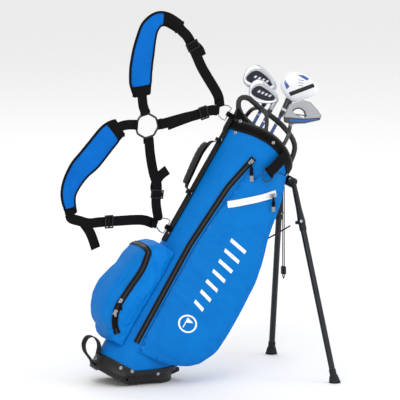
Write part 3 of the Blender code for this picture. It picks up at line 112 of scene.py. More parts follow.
# Polypropylene webbing: black ribs along its length that catch a dull light.
WEBBING = Finish("polypropylene_webbing", "webbing", "#0B0B0D", "#040405", Pattern.RIBBED, 1.8 * MM,
                 0.25 * MM, 0.62)
BINDING = Finish("bound_edge_tape", "trim", "#09090A", "#040405", Pattern.RIBBED, 1.4 * MM, 0.15 * MM, 0.66)
ZIP_COIL = Finish("nylon_coil_zip", "zip_tape", "#0C0C0D", "#060607", Pattern.COIL, 2.0 * MM, 0.4 * MM, 0.5)
# Polyurethane-coated zip tape: white, with a faint satin gloss.
COATED_ZIP = Finish("coated_zip", "pale_zip_tape", "#EEF1F4", "#DCE2E8", Pattern.LACQUER, 6.0 * MM, 0.05 * MM,
                    0.35, coat=0.3)
PRINT = Finish("screen_print", "bag_fabric", "#F4F7FB", "#E6EEF7", Pattern.WEAVE, 1.2 * MM, 0.06 * MM, 0.55)
LINING = Finish("tricot_lining", "bag_fabric", "#1A1C20", "#101114", Pattern.WEAVE, 1.5 * MM, 0.1 * MM, 0.8)
# Injection-moulded polypropylene: charcoal with a fine spark-eroded grain.
MOULDED = Finish("moulded_polypropylene", "black_plastic", "#131315", "#0C0C0D", Pattern.GRAIN, 1.0 * MM,
                 0.05 * MM, 0.46)
MOULDED_GREY = Finish("moulded_nylon_frame", "black_plastic", "#2A2A2D", "#1E1E20", Pattern.GRAIN, 1.0 * MM,
                      0.05 * MM, 0.40)
PULL_TIP = Finish("moulded_grey_tip", "black_plastic", "#8E9196", "#75787D", Pattern.GRAIN, 1.0 * MM,
                  0.04 * MM, 0.45)
SOFT_RUBBER = Finish("vulcanised_rubber", "rubber", "#1F1F20", "#141415", Pattern.GRAIN, 1.6 * MM, 0.12 * MM,
                     0.78)
ANODISED = Finish("anodised_aluminium", "leg_tube", "#3A3B3E", "#2A2B2D", Pattern.BRUSHED, 0.8 * MM,
                  0.03 * MM, 0.34, metallic=1.0)
COATED_WIRE = Finish("powder_coated_wire", "rod_steel", "#1C1D1F", "#121314", Pattern.LACQUER, 2.0 * MM,
                     0.03 * MM, 0.42)
NICKEL = Finish("nickel_plate", "bright_metal", "#A9AAAE", "#84858A", Pattern.BRUSHED, 0.8 * MM, 0.02 * MM,
                0.24, metallic=1.0)
GUNMETAL = Finish("gunmetal_plate", "dark_ring_metal", "#48494C", "#323336", Pattern.BRUSHED, 0.8 * MM,
                  0.02 * MM, 0.32, metallic=1.0)
BLUE_SHAFT = Finish("blue_lacquer", "blue_shaft", "#1559AE", "#0E4690", Pattern.LACQUER, 5.0 * MM, 0.02 * MM,
                    0.25, coat=0.5)
BLACK_SHAFT = Finish("black_lacquer", "putter_shaft_metal", "#2A2B2E", "#1C1D1F", Pattern.LACQUER, 5.0 * MM,
                     0.02 * MM, 0.28, coat=0.4)
SATIN_CHROME = Finish("satin_chrome", "iron_head", "#C9CCD2", "#A9ADB5", Pattern.CAST, 0.9 * MM, 0.03 * MM,
                      0.30, metallic=0.85)
WHITE_LACQUER = Finish("white_lacquer", "wood_head", "#EDEFF3", "#DDE1E8", Pattern.LACQUER, 8.0 * MM,
                       0.02 * MM, 0.28, coat=0.5)
SLATE_LACQUER = Finish("slate_lacquer", "wood_head", "#24282E", "#191C21", Pattern.LACQUER, 8.0 * MM,
                       0.02 * MM, 0.3, coat=0.5)
BLUE_PANEL = Finish("blue_panel", "wood_head", "#0F55A6", "#0A4488", Pattern.LACQUER, 6.0 * MM, 0.02 * MM,
                    0.3, coat=0.4)
GRAPHITE_PANEL = Finish("graphite_panel", "wood_head", "#0C0D0F", "#070708", Pattern.GRAIN, 0.9 * MM,
                        0.03 * MM, 0.42)
NAVY_BADGE = Finish("navy_badge", "iron_head", "#0E1426", "#07090F", Pattern.GRAIN, 0.9 * MM, 0.04 * MM, 0.45)
GREY_HEAD = Finish("bead_blasted_grey", "putter_head", "#A3A5A9", "#8C8E93", Pattern.CAST, 0.8 * MM,
                   0.04 * MM, 0.42, metallic=0.5)


def linear(colour: str) -> tuple[float, float, float, float]:
    """Linear values of an sRGB hex colour.

    Args:
        colour: six hex digits after a hash.
    Returns:
        Red, green, blue and alpha, with alpha at 1.
    """
    parts = [int(colour[i:i + 2], 16) / 255.0 for i in (1, 3, 5)]
    return tuple(p / 12.92 if p <= 0.04045 else ((p + 0.055) / 1.055) ** 2.4 for p in parts) + (1.0,)


def add_node(tree: bpy.types.NodeTree, kind: str, settings: dict | None = None,
             inputs: dict | None = None) -> bpy.types.Node:
    """Adds a node with its settings, values and links.

    Args:
        tree: the material's node tree.
        kind: Blender's name for the node's type.
        settings: attributes to set on the node.
        inputs: socket name or number to a value, or to the output socket that it links from.
    Returns:
        The new node.
    """
    node = tree.nodes.new(kind)
    for key, value in (settings or {}).items():
        setattr(node, key, value)
    for key, value in (inputs or {}).items():
        if isinstance(value, bpy.types.NodeSocket):
            tree.links.new(value, node.inputs[key])
        else:
            node.inputs[key].default_value = value
    return node


def bands(tree: bpy.types.NodeTree, vector: bpy.types.NodeSocket, pitch: float, direction: str,
          distortion: float = 0.0) -> bpy.types.NodeSocket:
    """Ridges of a real spacing along one direction of a vector, as a height from 0 to 1."""
    wave = add_node(tree, "ShaderNodeTexWave", {"wave_type": "BANDS", "bands_direction": direction},
                    {"Vector": vector, "Scale": 0.314 / pitch, "Distortion": distortion})
    return wave.outputs["Fac"]


def relief_of(tree: bpy.types.NodeTree, finish: Finish, place: bpy.types.NodeSocket) -> bpy.types.NodeSocket:
    """The height pattern of a finish.

    Args:
        tree: the material's node tree.
        finish: the finish to draw.
        place: coordinates in metres, turned to the bag's own frame.
    Returns:
        The socket that gives a height from 0 to 1.
    """
    grain = add_node(tree, "ShaderNodeTexNoise", None, {"Vector": place, "Scale": 1.0 / finish.pitch,
                                                        "Detail": 3.0})
    fine = grain.outputs["Fac"]
    if finish.pattern is Pattern.WEAVE:
        split = add_node(tree, "ShaderNodeSeparateXYZ", None, {"Vector": place})
        side = add_node(tree, "ShaderNodeMath", {"operation": "ADD"},
                        {0: split.outputs["X"], 1: split.outputs["Y"]})
        warp = add_node(tree, "ShaderNodeCombineXYZ", None, {"X": side.outputs[0], "Z": split.outputs["Z"]})
        first = bands(tree, warp.outputs[0], finish.pitch, "X", 0.4)
        second = bands(tree, warp.outputs[0], finish.pitch, "Z", 0.4)
        return add_node(tree, "ShaderNodeMath", {"operation": "MULTIPLY"}, {0: first, 1: second}).outputs[0]
    if finish.pattern is Pattern.KNIT:
        cells = add_node(tree, "ShaderNodeTexVoronoi", None, {"Vector": place, "Scale": 1.0 / finish.pitch})
        return cells.outputs["Distance"]
    if finish.pattern in (Pattern.RIBBED, Pattern.COIL):
        uv = add_node(tree, "ShaderNodeUVMap", {"uv_map": "UVMap"})
        direction = "Y" if finish.pattern is Pattern.RIBBED else "X"
        ribs = bands(tree, uv.outputs[0], finish.pitch, direction)
        return add_node(tree, "ShaderNodeMath", {"operation": "MULTIPLY_ADD"},
                        {0: fine, 1: 0.3, 2: ribs}).outputs[0]
    if finish.pattern is Pattern.BRUSHED:
        stretch = add_node(tree, "ShaderNodeMapping", None, {"Vector": place, "Scale": (1.0, 1.0, 0.05)})
        lines = add_node(tree, "ShaderNodeTexNoise", None,
                         {"Vector": stretch.outputs[0], "Scale": 1.0 / finish.pitch, "Detail": 2.0})
        return lines.outputs["Fac"]
    return fine


def make_material(finish: Finish) -> bpy.types.Material:
    """Builds a finish's material once: random dye tone, painted shade in the relief's hollows, roughness
    variation and relief over one shader.
    """
    found = bpy.data.materials.get(finish.name)
    if found:
        return found
    made = bpy.data.materials.new(finish.name)
    made.use_nodes = True
    tree = made.node_tree
    shader = tree.nodes["Principled BSDF"]
    where = add_node(tree, "ShaderNodeTexCoord")
    turned = add_node(tree, "ShaderNodeMapping", None,
                      {"Vector": where.outputs["Object"], "Rotation": (0.0, -LEAN, 0.0)})
    place = turned.outputs[0]
    height = relief_of(tree, finish, place)
    cloud = add_node(tree, "ShaderNodeTexNoise", None, {"Vector": place, "Scale": 22.0, "Detail": 4.0})
    # painted shade: the darker second colour gathers in the relief's hollows, while the cloud spreads it at
    # random as uneven dye
    share = add_node(tree, "ShaderNodeMath", {"operation": "MULTIPLY_ADD", "use_clamp": True},
                     {0: height, 1: -0.45, 2: cloud.outputs["Fac"]})
    colour = add_node(tree, "ShaderNodeMix", {"data_type": "RGBA"},
                      {"Factor": share.outputs[0], "A": linear(finish.colour), "B": linear(finish.shade)})
    tree.links.new(colour.outputs["Result"], shader.inputs["Base Color"])
    rough = add_node(tree, "ShaderNodeMapRange", None,
                     {"Value": cloud.outputs["Fac"], "To Min": finish.roughness - 0.06,
                      "To Max": finish.roughness + 0.08})
    tree.links.new(rough.outputs[0], shader.inputs["Roughness"])
    bump = add_node(tree, "ShaderNodeBump", None, {"Height": height, "Strength": 0.8,
                                                   "Distance": finish.relief})
    tree.links.new(bump.outputs[0], shader.inputs["Normal"])
    shader.inputs["Metallic"].default_value = finish.metallic
    if finish.metallic < 0.5:
        shader.inputs["IOR"].default_value = finish.ior
    shader.inputs["Specular IOR Level"].default_value = finish.specular()
    shader.inputs["Sheen Weight"].default_value = finish.sheen
    shader.inputs["Coat Weight"].default_value = finish.coat
    return made


# ------------------------------------------------------------------------------------------------------------
# Meshes
# ------------------------------------------------------------------------------------------------------------
def lerp(low: float, high: float, share: float) -> float:
    """The value at a share of the way from low to high."""
    return low + (high - low) * share


def table(rows: Sequence[tuple[float, float]], x: float) -> float:
    """Straight-line reading of a short table of (x, value) rows."""
    if x <= rows[0][0]:
        return rows[0][1]
    for (x0, y0), (x1, y1) in zip(rows, rows[1:]):
        if x <= x1:
            return lerp(y0, y1, (x - x0) / (x1 - x0))
    return rows[-1][1]


def smooth(points: Iterable[Sequence[float]], steps: int = 6) -> Path:
    """Points along a Catmull-Rom curve through points, steps to each stretch."""
    known = [Vector(p) for p in points]
    ends = [known[0] * 2.0 - known[1]] + known + [known[-1] * 2.0 - known[-2]]
    out = []
    for a, b, c, d in zip(ends, ends[1:], ends[2:], ends[3:]):
        for k in range(steps):
            t = k / steps
            out.append(0.5 * (2.0 * b + (c - a) * t + (2.0 * a - 5.0 * b + 4.0 * c - d) * t * t
                              + (3.0 * b - a - 3.0 * c + d) * t ** 3))
    return out + [known[-1]]


def in_plane(path: Path) -> Path:
    """For each point of a path, the direction across it in the bag's middle plane."""
    out = []
    for i in range(len(path)):
        ahead = path[min(i + 1, len(path) - 1)] - path[max(i - 1, 0)]
        out.append(Vector((ahead.z, 0.0, -ahead.x)).normalized())
    return out


def band_section(width: float, thick: float) -> list[tuple[float, float]]:
    """Section of flat webbing with soft edges, as (across, up) points."""
    w, t, e = width / 2.0, thick / 2.0, min(thick, width * 0.1)
    half = [(-w, -t * 0.4), (-w + e * 0.3, -t), (-w + e * 1.4, -t * 0.86), (0.0, -t * 0.86),
            (w - e * 1.4, -t * 0.86), (w - e * 0.3, -t), (w, -t * 0.4)]
    return half + [(-a, -b) for a, b in half]


def round_section(wide: float, deep: float, count: int = 16) -> list[tuple[float, float]]:
    """Oval section, as (across, up) points."""
    return [(wide * math.cos(2.0 * math.pi * k / count), deep * math.sin(2.0 * math.pi * k / count))
            for k in range(count)]


def sweep(path: Path, sides: Path | Vector, section: Sequence[tuple[float, float]] | Callable,
          closed: bool = False
          ) -> bmesh.types.BMesh:
    """Sweeps a section along a path, with UVs in metres along and around it.

    Args:
        path: the points of its middle line.
        sides: the direction of the section's width, one or one for each point.
        section: (across, up) points, or a function from the share of the path to such points.
        closed: the path is a loop.
    Returns:
        The new bmesh, closed at its ends.
    """
    bm = bmesh.new()
    uv = bm.loops.layers.uv.new("UVMap")
    count = len(path)
    rings, run, around = [], [0.0], []
    for i, point in enumerate(path):
        before = path[i - 1] if i or closed else path[0]
        after = path[(i + 1) % count] if i + 1 < count or closed else path[-1]
        ahead = (after - before).normalized()
        side = sides[i] if isinstance(sides, list) else sides
        across = (side - ahead * side.dot(ahead)).normalized()
        up = ahead.cross(across)
        shape = section(i / (count - 1)) if callable(section) else section
        rings.append([bm.verts.new(point + across * a + up * b) for a, b in shape])
        if i:
            run.append(run[-1] + (point - path[i - 1]).length)
        around = [0.0]
        for (a, b), (c, d) in zip(shape, list(shape[1:]) + [shape[0]]):
            around.append(around[-1] + math.hypot(c - a, d - b))
    size = len(rings[0])
    last = count if closed else count - 1
    for i in range(last):
        start, end = rings[i], rings[(i + 1) % count]
        for k in range(size):
            face = bm.faces.new((start[k], start[(k + 1) % size], end[(k + 1) % size], end[k]))
            far = run[i + 1] if i + 1 < count else run[-1] + (path[0] - path[-1]).length
            for loop, where in zip(face.loops, ((run[i], around[k]), (run[i], around[k + 1]), (far,
                                                                                               around[k + 1]),
                                                (far, around[k]))):
                loop[uv].uv = where
    if not closed:
        bm.faces.new(list(reversed(rings[0])))
        bm.faces.new(rings[-1])
    return bm


def loft(rings: list[Path], closed: bool = False, caps: bool = True) -> bmesh.types.BMesh:
    """Joins rings of equal counts, into a tube of walls when closed.

    Args:
        rings: the rings of points, in order.
        closed: the last ring joins the first, as around a hollow wall.
        caps: the end rings get a face each when the loft isn't closed.
    Returns:
        The new bmesh.
    """
    bm = bmesh.new()
    made = [[bm.verts.new(p) for p in ring] for ring in rings]
    size = len(made[0])
    pairs = list(zip(made, made[1:])) + ([(made[-1], made[0])] if closed else [])
    for start, end in pairs:
        for k in range(size):
            bm.faces.new((start[k], start[(k + 1) % size], end[(k + 1) % size], end[k]))
    if caps and not closed:
        bm.faces.new(list(reversed(made[0])))
        bm.faces.new(made[-1])
    bmesh.ops.recalc_face_normals(bm, faces=bm.faces)
    return bm


def turned(profile: Sequence[tuple[float, float]], start: Vector, axis: Vector,
           count: int = 24) -> bmesh.types.BMesh:
    """A turned shape: (radius, height) points around an axis from start."""
    axis = axis.normalized()
    side = axis.orthogonal().normalized()
    other = axis.cross(side)
    rings = [[start + axis * h + (side * math.cos(a) + other * math.sin(a)) * max(r, 0.02 * MM)
              for a in (2.0 * math.pi * k / count for k in range(count))] for r, h in profile]
    return loft(rings)


def spokes(outline: Sequence[tuple[float, float]], centre: tuple[float, float], count: int = 80
           ) -> list[tuple[float, float]]:
    """Where evenly turned rays from a centre meet a smooth curve through a closed outline."""
    known = [Vector((x, 0.0, w)) for x, w in list(outline[-1:]) + list(outline) + list(outline[:2])]
    loop = smooth(known, 6)[6:-6]
    out = []
    for k in range(count):
        angle = 2.0 * math.pi * k / count
        ray = (math.cos(angle), math.sin(angle))
        reach = 0.0
        for p, q in zip(loop, loop[1:]):
            edge = q - p
            cross = ray[0] * edge.z - ray[1] * edge.x
            if abs(cross) < 1e-9:
                continue
            gap = (p.x - centre[0], p.z - centre[1])
            far = (gap[0] * edge.z - gap[1] * edge.x) / cross
            share = (gap[0] * ray[1] - gap[1] * ray[0]) / cross
            if -1e-6 <= share <= 1.0 + 1e-6:
                reach = max(reach, far)
        out.append((centre[0] + ray[0] * reach, centre[1] + ray[1] * reach))
    return out


def slab(outline: Sequence[Vector], depth: Vector) -> bmesh.types.BMesh:
    """A flat outline given a thickness."""
    bm = bmesh.new()
    first = [bm.verts.new(p) for p in outline]
    second = [bm.verts.new(p + depth) for p in outline]
    bm.faces.new(list(reversed(first)))
    bm.faces.new(second)
    for k in range(len(first)):
        m = (k + 1) % len(first)
        bm.faces.new((first[k], first[m], second[m], second[k]))
    bmesh.ops.recalc_face_normals(bm, faces=bm.faces)
    return bm


def block(centre: Vector, x: Vector, y: Vector, z: Vector) -> bmesh.types.BMesh:
    """A box from its centre and its three half edges."""
    return slab([centre - x - y - z, centre + x - y - z, centre + x + y - z, centre - x + y - z], z * 2.0)


def merge(parts: Iterable[bmesh.types.BMesh]) -> bmesh.types.BMesh:
    """Copies several bmeshes into one and frees them."""
    total = bmesh.new()
    for part in parts:
        spare = bpy.data.meshes.new("spare")
        part.to_mesh(spare)
        part.free()
        total.from_mesh(spare)
        bpy.data.meshes.remove(spare)
    return total


def dress(piece: bpy.types.Object, finish: Finish, body: str,
          replaced: Sequence[str] = ()) -> bpy.types.Object:
    """Gives a piece its material, the body that it rides on and the nodes that it stands for."""
    piece.data.materials.clear()
    piece.data.materials.append(make_material(finish))
    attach(piece, body)
    if replaced:
        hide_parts(*replaced)
    LOG.info("%s: %d faces on %s", piece.name, len(piece.data.polygons), body)
    return piece


def add_piece(name: str, bm: bmesh.types.BMesh, finish: Finish, body: str, replaced: Sequence[str] = (),
              bevel: float = 0.0, levels: int = 0, world: bool = False) -> bpy.types.Object:
    """Makes a piece from a bmesh that is drawn in the bag's frame.

    Args:
        name: the piece's name.
        bm: its shape, which is freed.
        finish: its finish.
        body: the body that it rides on.
        replaced: the nodes that it stands for.
        bevel: width of its rounded edges.
        levels: levels of subdivision.
        world: the shape is drawn in the world frame instead.
    Returns:
        The new object.
    """
    if not world:
        bmesh.ops.transform(bm, verts=bm.verts, matrix=TO_WORLD)
    mesh = bpy.data.meshes.new(name)
    bm.to_mesh(mesh)
    bm.free()
    mesh.shade_smooth()
    mesh.set_sharp_from_angle(angle=math.radians(40.0))
    piece = bpy.data.objects.new(name, mesh)
    bpy.context.scene.collection.objects.link(piece)
    if bevel:
        rounding = piece.modifiers.new("Rounded", "BEVEL")
        rounding.width, rounding.segments, rounding.limit_method = bevel, 2, "ANGLE"
        rounding.angle_limit = math.radians(35.0)
        rounding.harden_normals = False
    if levels:
        finer = piece.modifiers.new("Finer", "SUBSURF")
        finer.levels = finer.render_levels = levels
    return dress(piece, finish, body, replaced)


def bake_modifiers(piece: bpy.types.Object) -> None:
    """Replaces a piece's mesh with what its modifiers make of it."""
    bpy.context.view_layer.update()
    graph = bpy.context.evaluated_depsgraph_get()
    mesh = bpy.data.meshes.new_from_object(piece.evaluated_get(graph))
    old, piece.data = piece.data, mesh
    piece.modifiers.clear()
    bpy.data.meshes.remove(old)


def remeshed(name: str, source: bpy.types.Object, voxel: float, rounds: int) -> bpy.types.Object:
    """A copy of a node with an even fine mesh whose edges are rounded by smoothing.

    Args:
        name: the new object's name.
        source: the node to start from.
        voxel: size of the new faces.
        rounds: rounds of smoothing, each of which rounds edges by about half a face.
    Returns:
        The new object, at the world origin.
    """
    piece = bpy.data.objects.new(name, source.data.copy())
    bpy.context.scene.collection.objects.link(piece)
    even = piece.modifiers.new("Even", "REMESH")
    even.mode, even.voxel_size = "VOXEL", voxel
    if rounds:
        soften = piece.modifiers.new("Soften", "SMOOTH")
        soften.factor, soften.iterations = 0.5, rounds
    bake_modifiers(piece)
    piece.data.shade_smooth()
    return piece


def refined(name: str, node: str, finish: Finish, body: str, voxel: float = 1.4 * MM, rounds: int = 5
            ) -> bpy.types.Object:
    """A moulded or cast piece that stands for a node, with its edges rounded."""
    return dress(remeshed(name, frame["nodes"][node], voxel, rounds), finish, body, [node])


def inflate(piece: bpy.types.Object, pressure: float, cap: float, held: Callable[[Vector], bool],
            slack: float = 0.0
            ) -> None:
    """Swells a closed fabric piece by cloth simulation.

    Args:
        piece: the piece, already remeshed.
        pressure: pressure inside it.
        cap: the furthest that a point may move.
        held: says whether a point, in the bag's frame, is sewn down.
        slack: share by which the cloth is cut larger, which wrinkles it.
    """
    start = [v.co.copy() for v in piece.data.vertices]
    pins = piece.vertex_groups.new(name="sewn")
    pins.add([i for i, co in enumerate(start) if held(TO_BAG @ co)], 1.0, "REPLACE")
    cloth = piece.modifiers.new("Cloth", "CLOTH")
    cloth.settings.quality = 5
    cloth.settings.mass = 0.2
    cloth.settings.tension_stiffness = cloth.settings.compression_stiffness = 12.0
    cloth.settings.shear_stiffness = 6.0
    cloth.settings.bending_stiffness = 0.25
    cloth.settings.use_pressure = True
    cloth.settings.uniform_pressure_force = pressure
    cloth.settings.shrink_min = -slack
    cloth.settings.vertex_group_mass = pins.name
    cloth.settings.effector_weights.gravity = 0.0
    cloth.collision_settings.use_collision = False
    scene = bpy.context.scene
    for step in range(1, 21):
        scene.frame_set(step)
    bake_modifiers(piece)
    scene.frame_set(1)
    for vertex, old in zip(piece.data.vertices, start):
        move = vertex.co - old
        if move.length > cap:
            vertex.co = old + move * (cap / move.length)
    piece.vertex_groups.clear()
    piece.data.shade_smooth()


def ripple(piece: bpy.types.Object, height: float, size: float, seed: float, along: float = 0.35) -> None:
    """Adds soft inward creases to a fabric piece, longer along the bag's axis.

    Args:
        piece: the piece, in the world frame.
        height: depth of the creases.
        size: distance between them.
        seed: offset into the noise.
        along: how much slower they change along the bag's axis.
    """
    mesh = piece.data
    moves = []
    for vertex in mesh.vertices:
        spot = TO_BAG @ vertex.co
        where = Vector((spot.x / size + seed, spot.y / size, spot.z * along / size))
        amount = noise.noise(where) + 0.5 * noise.noise(where * 2.3)
        moves.append(vertex.co - vertex.normal * height * max(0.0, 0.35 + amount))
    for vertex, place in zip(mesh.vertices, moves):
        vertex.co = place


class Surface:
    """A finished mesh that seams, zips and prints are laid on."""

    def __init__(self, piece: bpy.types.Object) -> None:
        """Keeps the piece's shape, in the bag's frame."""
        bm = bmesh.new()
        bm.from_mesh(piece.data)
        bmesh.ops.transform(bm, verts=bm.verts, matrix=TO_BAG)
        self.tree = BVHTree.FromBMesh(bm)
        bm.free()

    def near(self, point: Vector, lift: float) -> tuple[Vector, Vector]:
        """The nearest point of the surface, raised by lift, and the normal there."""
        place, normal, _, _ = self.tree.find_nearest(point)
        return place + normal * lift, normal

    def shot(self, u: float, w: float, lift: float) -> tuple[Vector, Vector]:
        """The point that a line from the right-hand side meets at u and w, raised by lift, and its normal."""
        place, normal, _, _ = self.tree.ray_cast(Vector((u, -0.4, w)), ACROSS)
        if place is None:
            return self.near(Vector((u, -0.1, w)), lift)
        return place + normal * lift, normal

    def laid(self, points: Path, lift: float, rounds: int = 2) -> tuple[Path, Path]:
        """A path laid on the surface and the direction across it at each point."""
        pairs = [self.near(p, lift) for p in points]
        path, normals = [p for p, _ in pairs], [n for _, n in pairs]
        for _ in range(rounds):
            path = [path[0]] + [(a + b * 2.0 + c) / 4.0 for a, b,
                                c in zip(path, path[1:], path[2:])] + [path[-1]]
        sides = []
        for i, normal in enumerate(normals):
            ahead = path[min(i + 1, len(path) - 1)] - path[max(i - 1, 0)]
            sides.append(normal.cross(ahead).normalized())
        return path, sides


def stitches(path: Path, ups: Path, pitch: float = 4.5 * MM) -> bmesh.types.BMesh:
    """A row of sewn stitches along a path, each a small rounded dash; ups point off the fabric."""
    parts = []
    total = sum((b - a).length for a, b in zip(path, path[1:]))
    count = max(int(total / pitch), 1)
    run, i = 0.0, 0
    for k in range(count):
        target = (k + 0.5) * total / count
        while i < len(path) - 2 and run + (path[i + 1] - path[i]).length < target:
            run += (path[i + 1] - path[i]).length
            i += 1
        step = path[i + 1] - path[i]
        ahead = step.normalized()
        centre = path[i] + ahead * (target - run)
        up = (ups[i] - ahead * ups[i].dot(ahead)).normalized()
        parts.append(block(centre, ahead * pitch * 0.30, ahead.cross(up) * 0.45 * MM, up * 0.35 * MM))
    return merge(parts)


# ------------------------------------------------------------------------------------------------------------
# The bag's shape
# ------------------------------------------------------------------------------------------------------------
@dataclass
class BagShape:
    """Sizes of the bag that its pieces share, in metres."""

    length: float = 660.0 * MM
    half_width: float = 80.0 * MM
    half_depth_low: float = 92.0 * MM
    half_depth_high: float = 97.0 * MM
    shift_low: float = 5.0 * MM
    shift_high: float = 22.0 * MM
    wall: float = 4.0 * MM
    gap: float = 0.3 * MM
    collar_height: float = 22.0 * MM
    foot_top: float = 27.0 * MM
    cup_heel: float = 40.0 * MM

    def shell(self, angle: float, w: float, out: float = 0.0) -> Vector:
        """A point of the outer surface; angle 0 is the front and a quarter turn the right-hand side."""
        share = w / self.length
        centre = lerp(self.shift_low, self.shift_high, share)
        depth = lerp(self.half_depth_low, self.half_depth_high, share)
        return Vector((centre + (depth + out) * math.cos(angle), -(self.half_width + out) * math.sin(angle),
                       w))

    def normal(self, angle: float) -> Vector:
        """The outward direction of the shell at an angle."""
        return Vector((math.cos(angle) / 95.0, -math.sin(angle) / 80.0, 0.0)).normalized()

    def rear_u(self, w: float, out: float = 0.0) -> float:
        """How far back the bag's rear is."""
        return self.shell(math.pi, w, out).x

    def rim_w(self, angle: float) -> float:
        """The mouth's level at an angle."""
        return (self.length + 13.5 * MM - 0.226 * self.half_depth_high * math.cos(angle)
                + 30.0 * MM * math.sin(angle) ** 2)

    def level_w(self, u: float, height: float) -> float:
        """The w at which the plane of that world height meets u."""
        return (height - BAG_ORIGIN.z + u * math.sin(LEAN)) / math.cos(LEAN)

    def floor_w(self, u: float) -> float:
        """Underside of the base: square to the bag behind the hinge and level with the foot before it."""
        back, front = -38.0 * MM, -28.0 * MM
        level = self.level_w(max(u, front), self.foot_top + 1.0 * MM)
        if u <= back:
            return 0.0
        return level * (u - back) / (front - back) if u < front else level

    def cup_top_w(self, u: float) -> float:
        """Upper edge of the base, which rises at the very front."""
        riser = 25.0 * MM * min(max((u - 78.0 * MM) / (8.0 * MM), 0.0), 1.0)
        return max(self.cup_heel, self.level_w(u, self.foot_top + 1.0 * MM) + 15.0 * MM) + riser

    def ring(self, out: float, level: Callable[[float, float], float], count: int = 96) -> Path:
        """A ring around the bag whose w is a function of the angle and u."""
        ring = []
        for k in range(count):
            angle = 2.0 * math.pi * k / count
            point = self.shell(angle, self.cup_heel, out)
            for _ in range(4):
                point = self.shell(angle, level(angle, point.x), out)
            ring.append(point)
        return ring

    def spine_u(self, w: float) -> float:
        """Back surface of the spine strip."""
        step = self.rim_w(math.pi) - self.collar_height - 14.0 * MM
        rise = min(max((w - step) / (13.0 * MM), 0.0), 1.0) * 3.3 * MM
        return self.rear_u(w, 2.7 * MM + rise)


BAG = BagShape()


def rivet(place: Vector, out: Vector, radius: float = 4.6 * MM) -> bmesh.types.BMesh:
    """A domed hollow rivet with a dimple, standing on a surface."""
    r = radius
    return turned([(r, -0.8 * MM), (r, 0.3 * MM), (r * 0.9, 1.0 * MM), (r * 0.62, 1.5 * MM),
                   (r * 0.42, 1.2 * MM), (r * 0.3, 0.4 * MM), (0.0, 0.2 * MM)], place, out, 20)


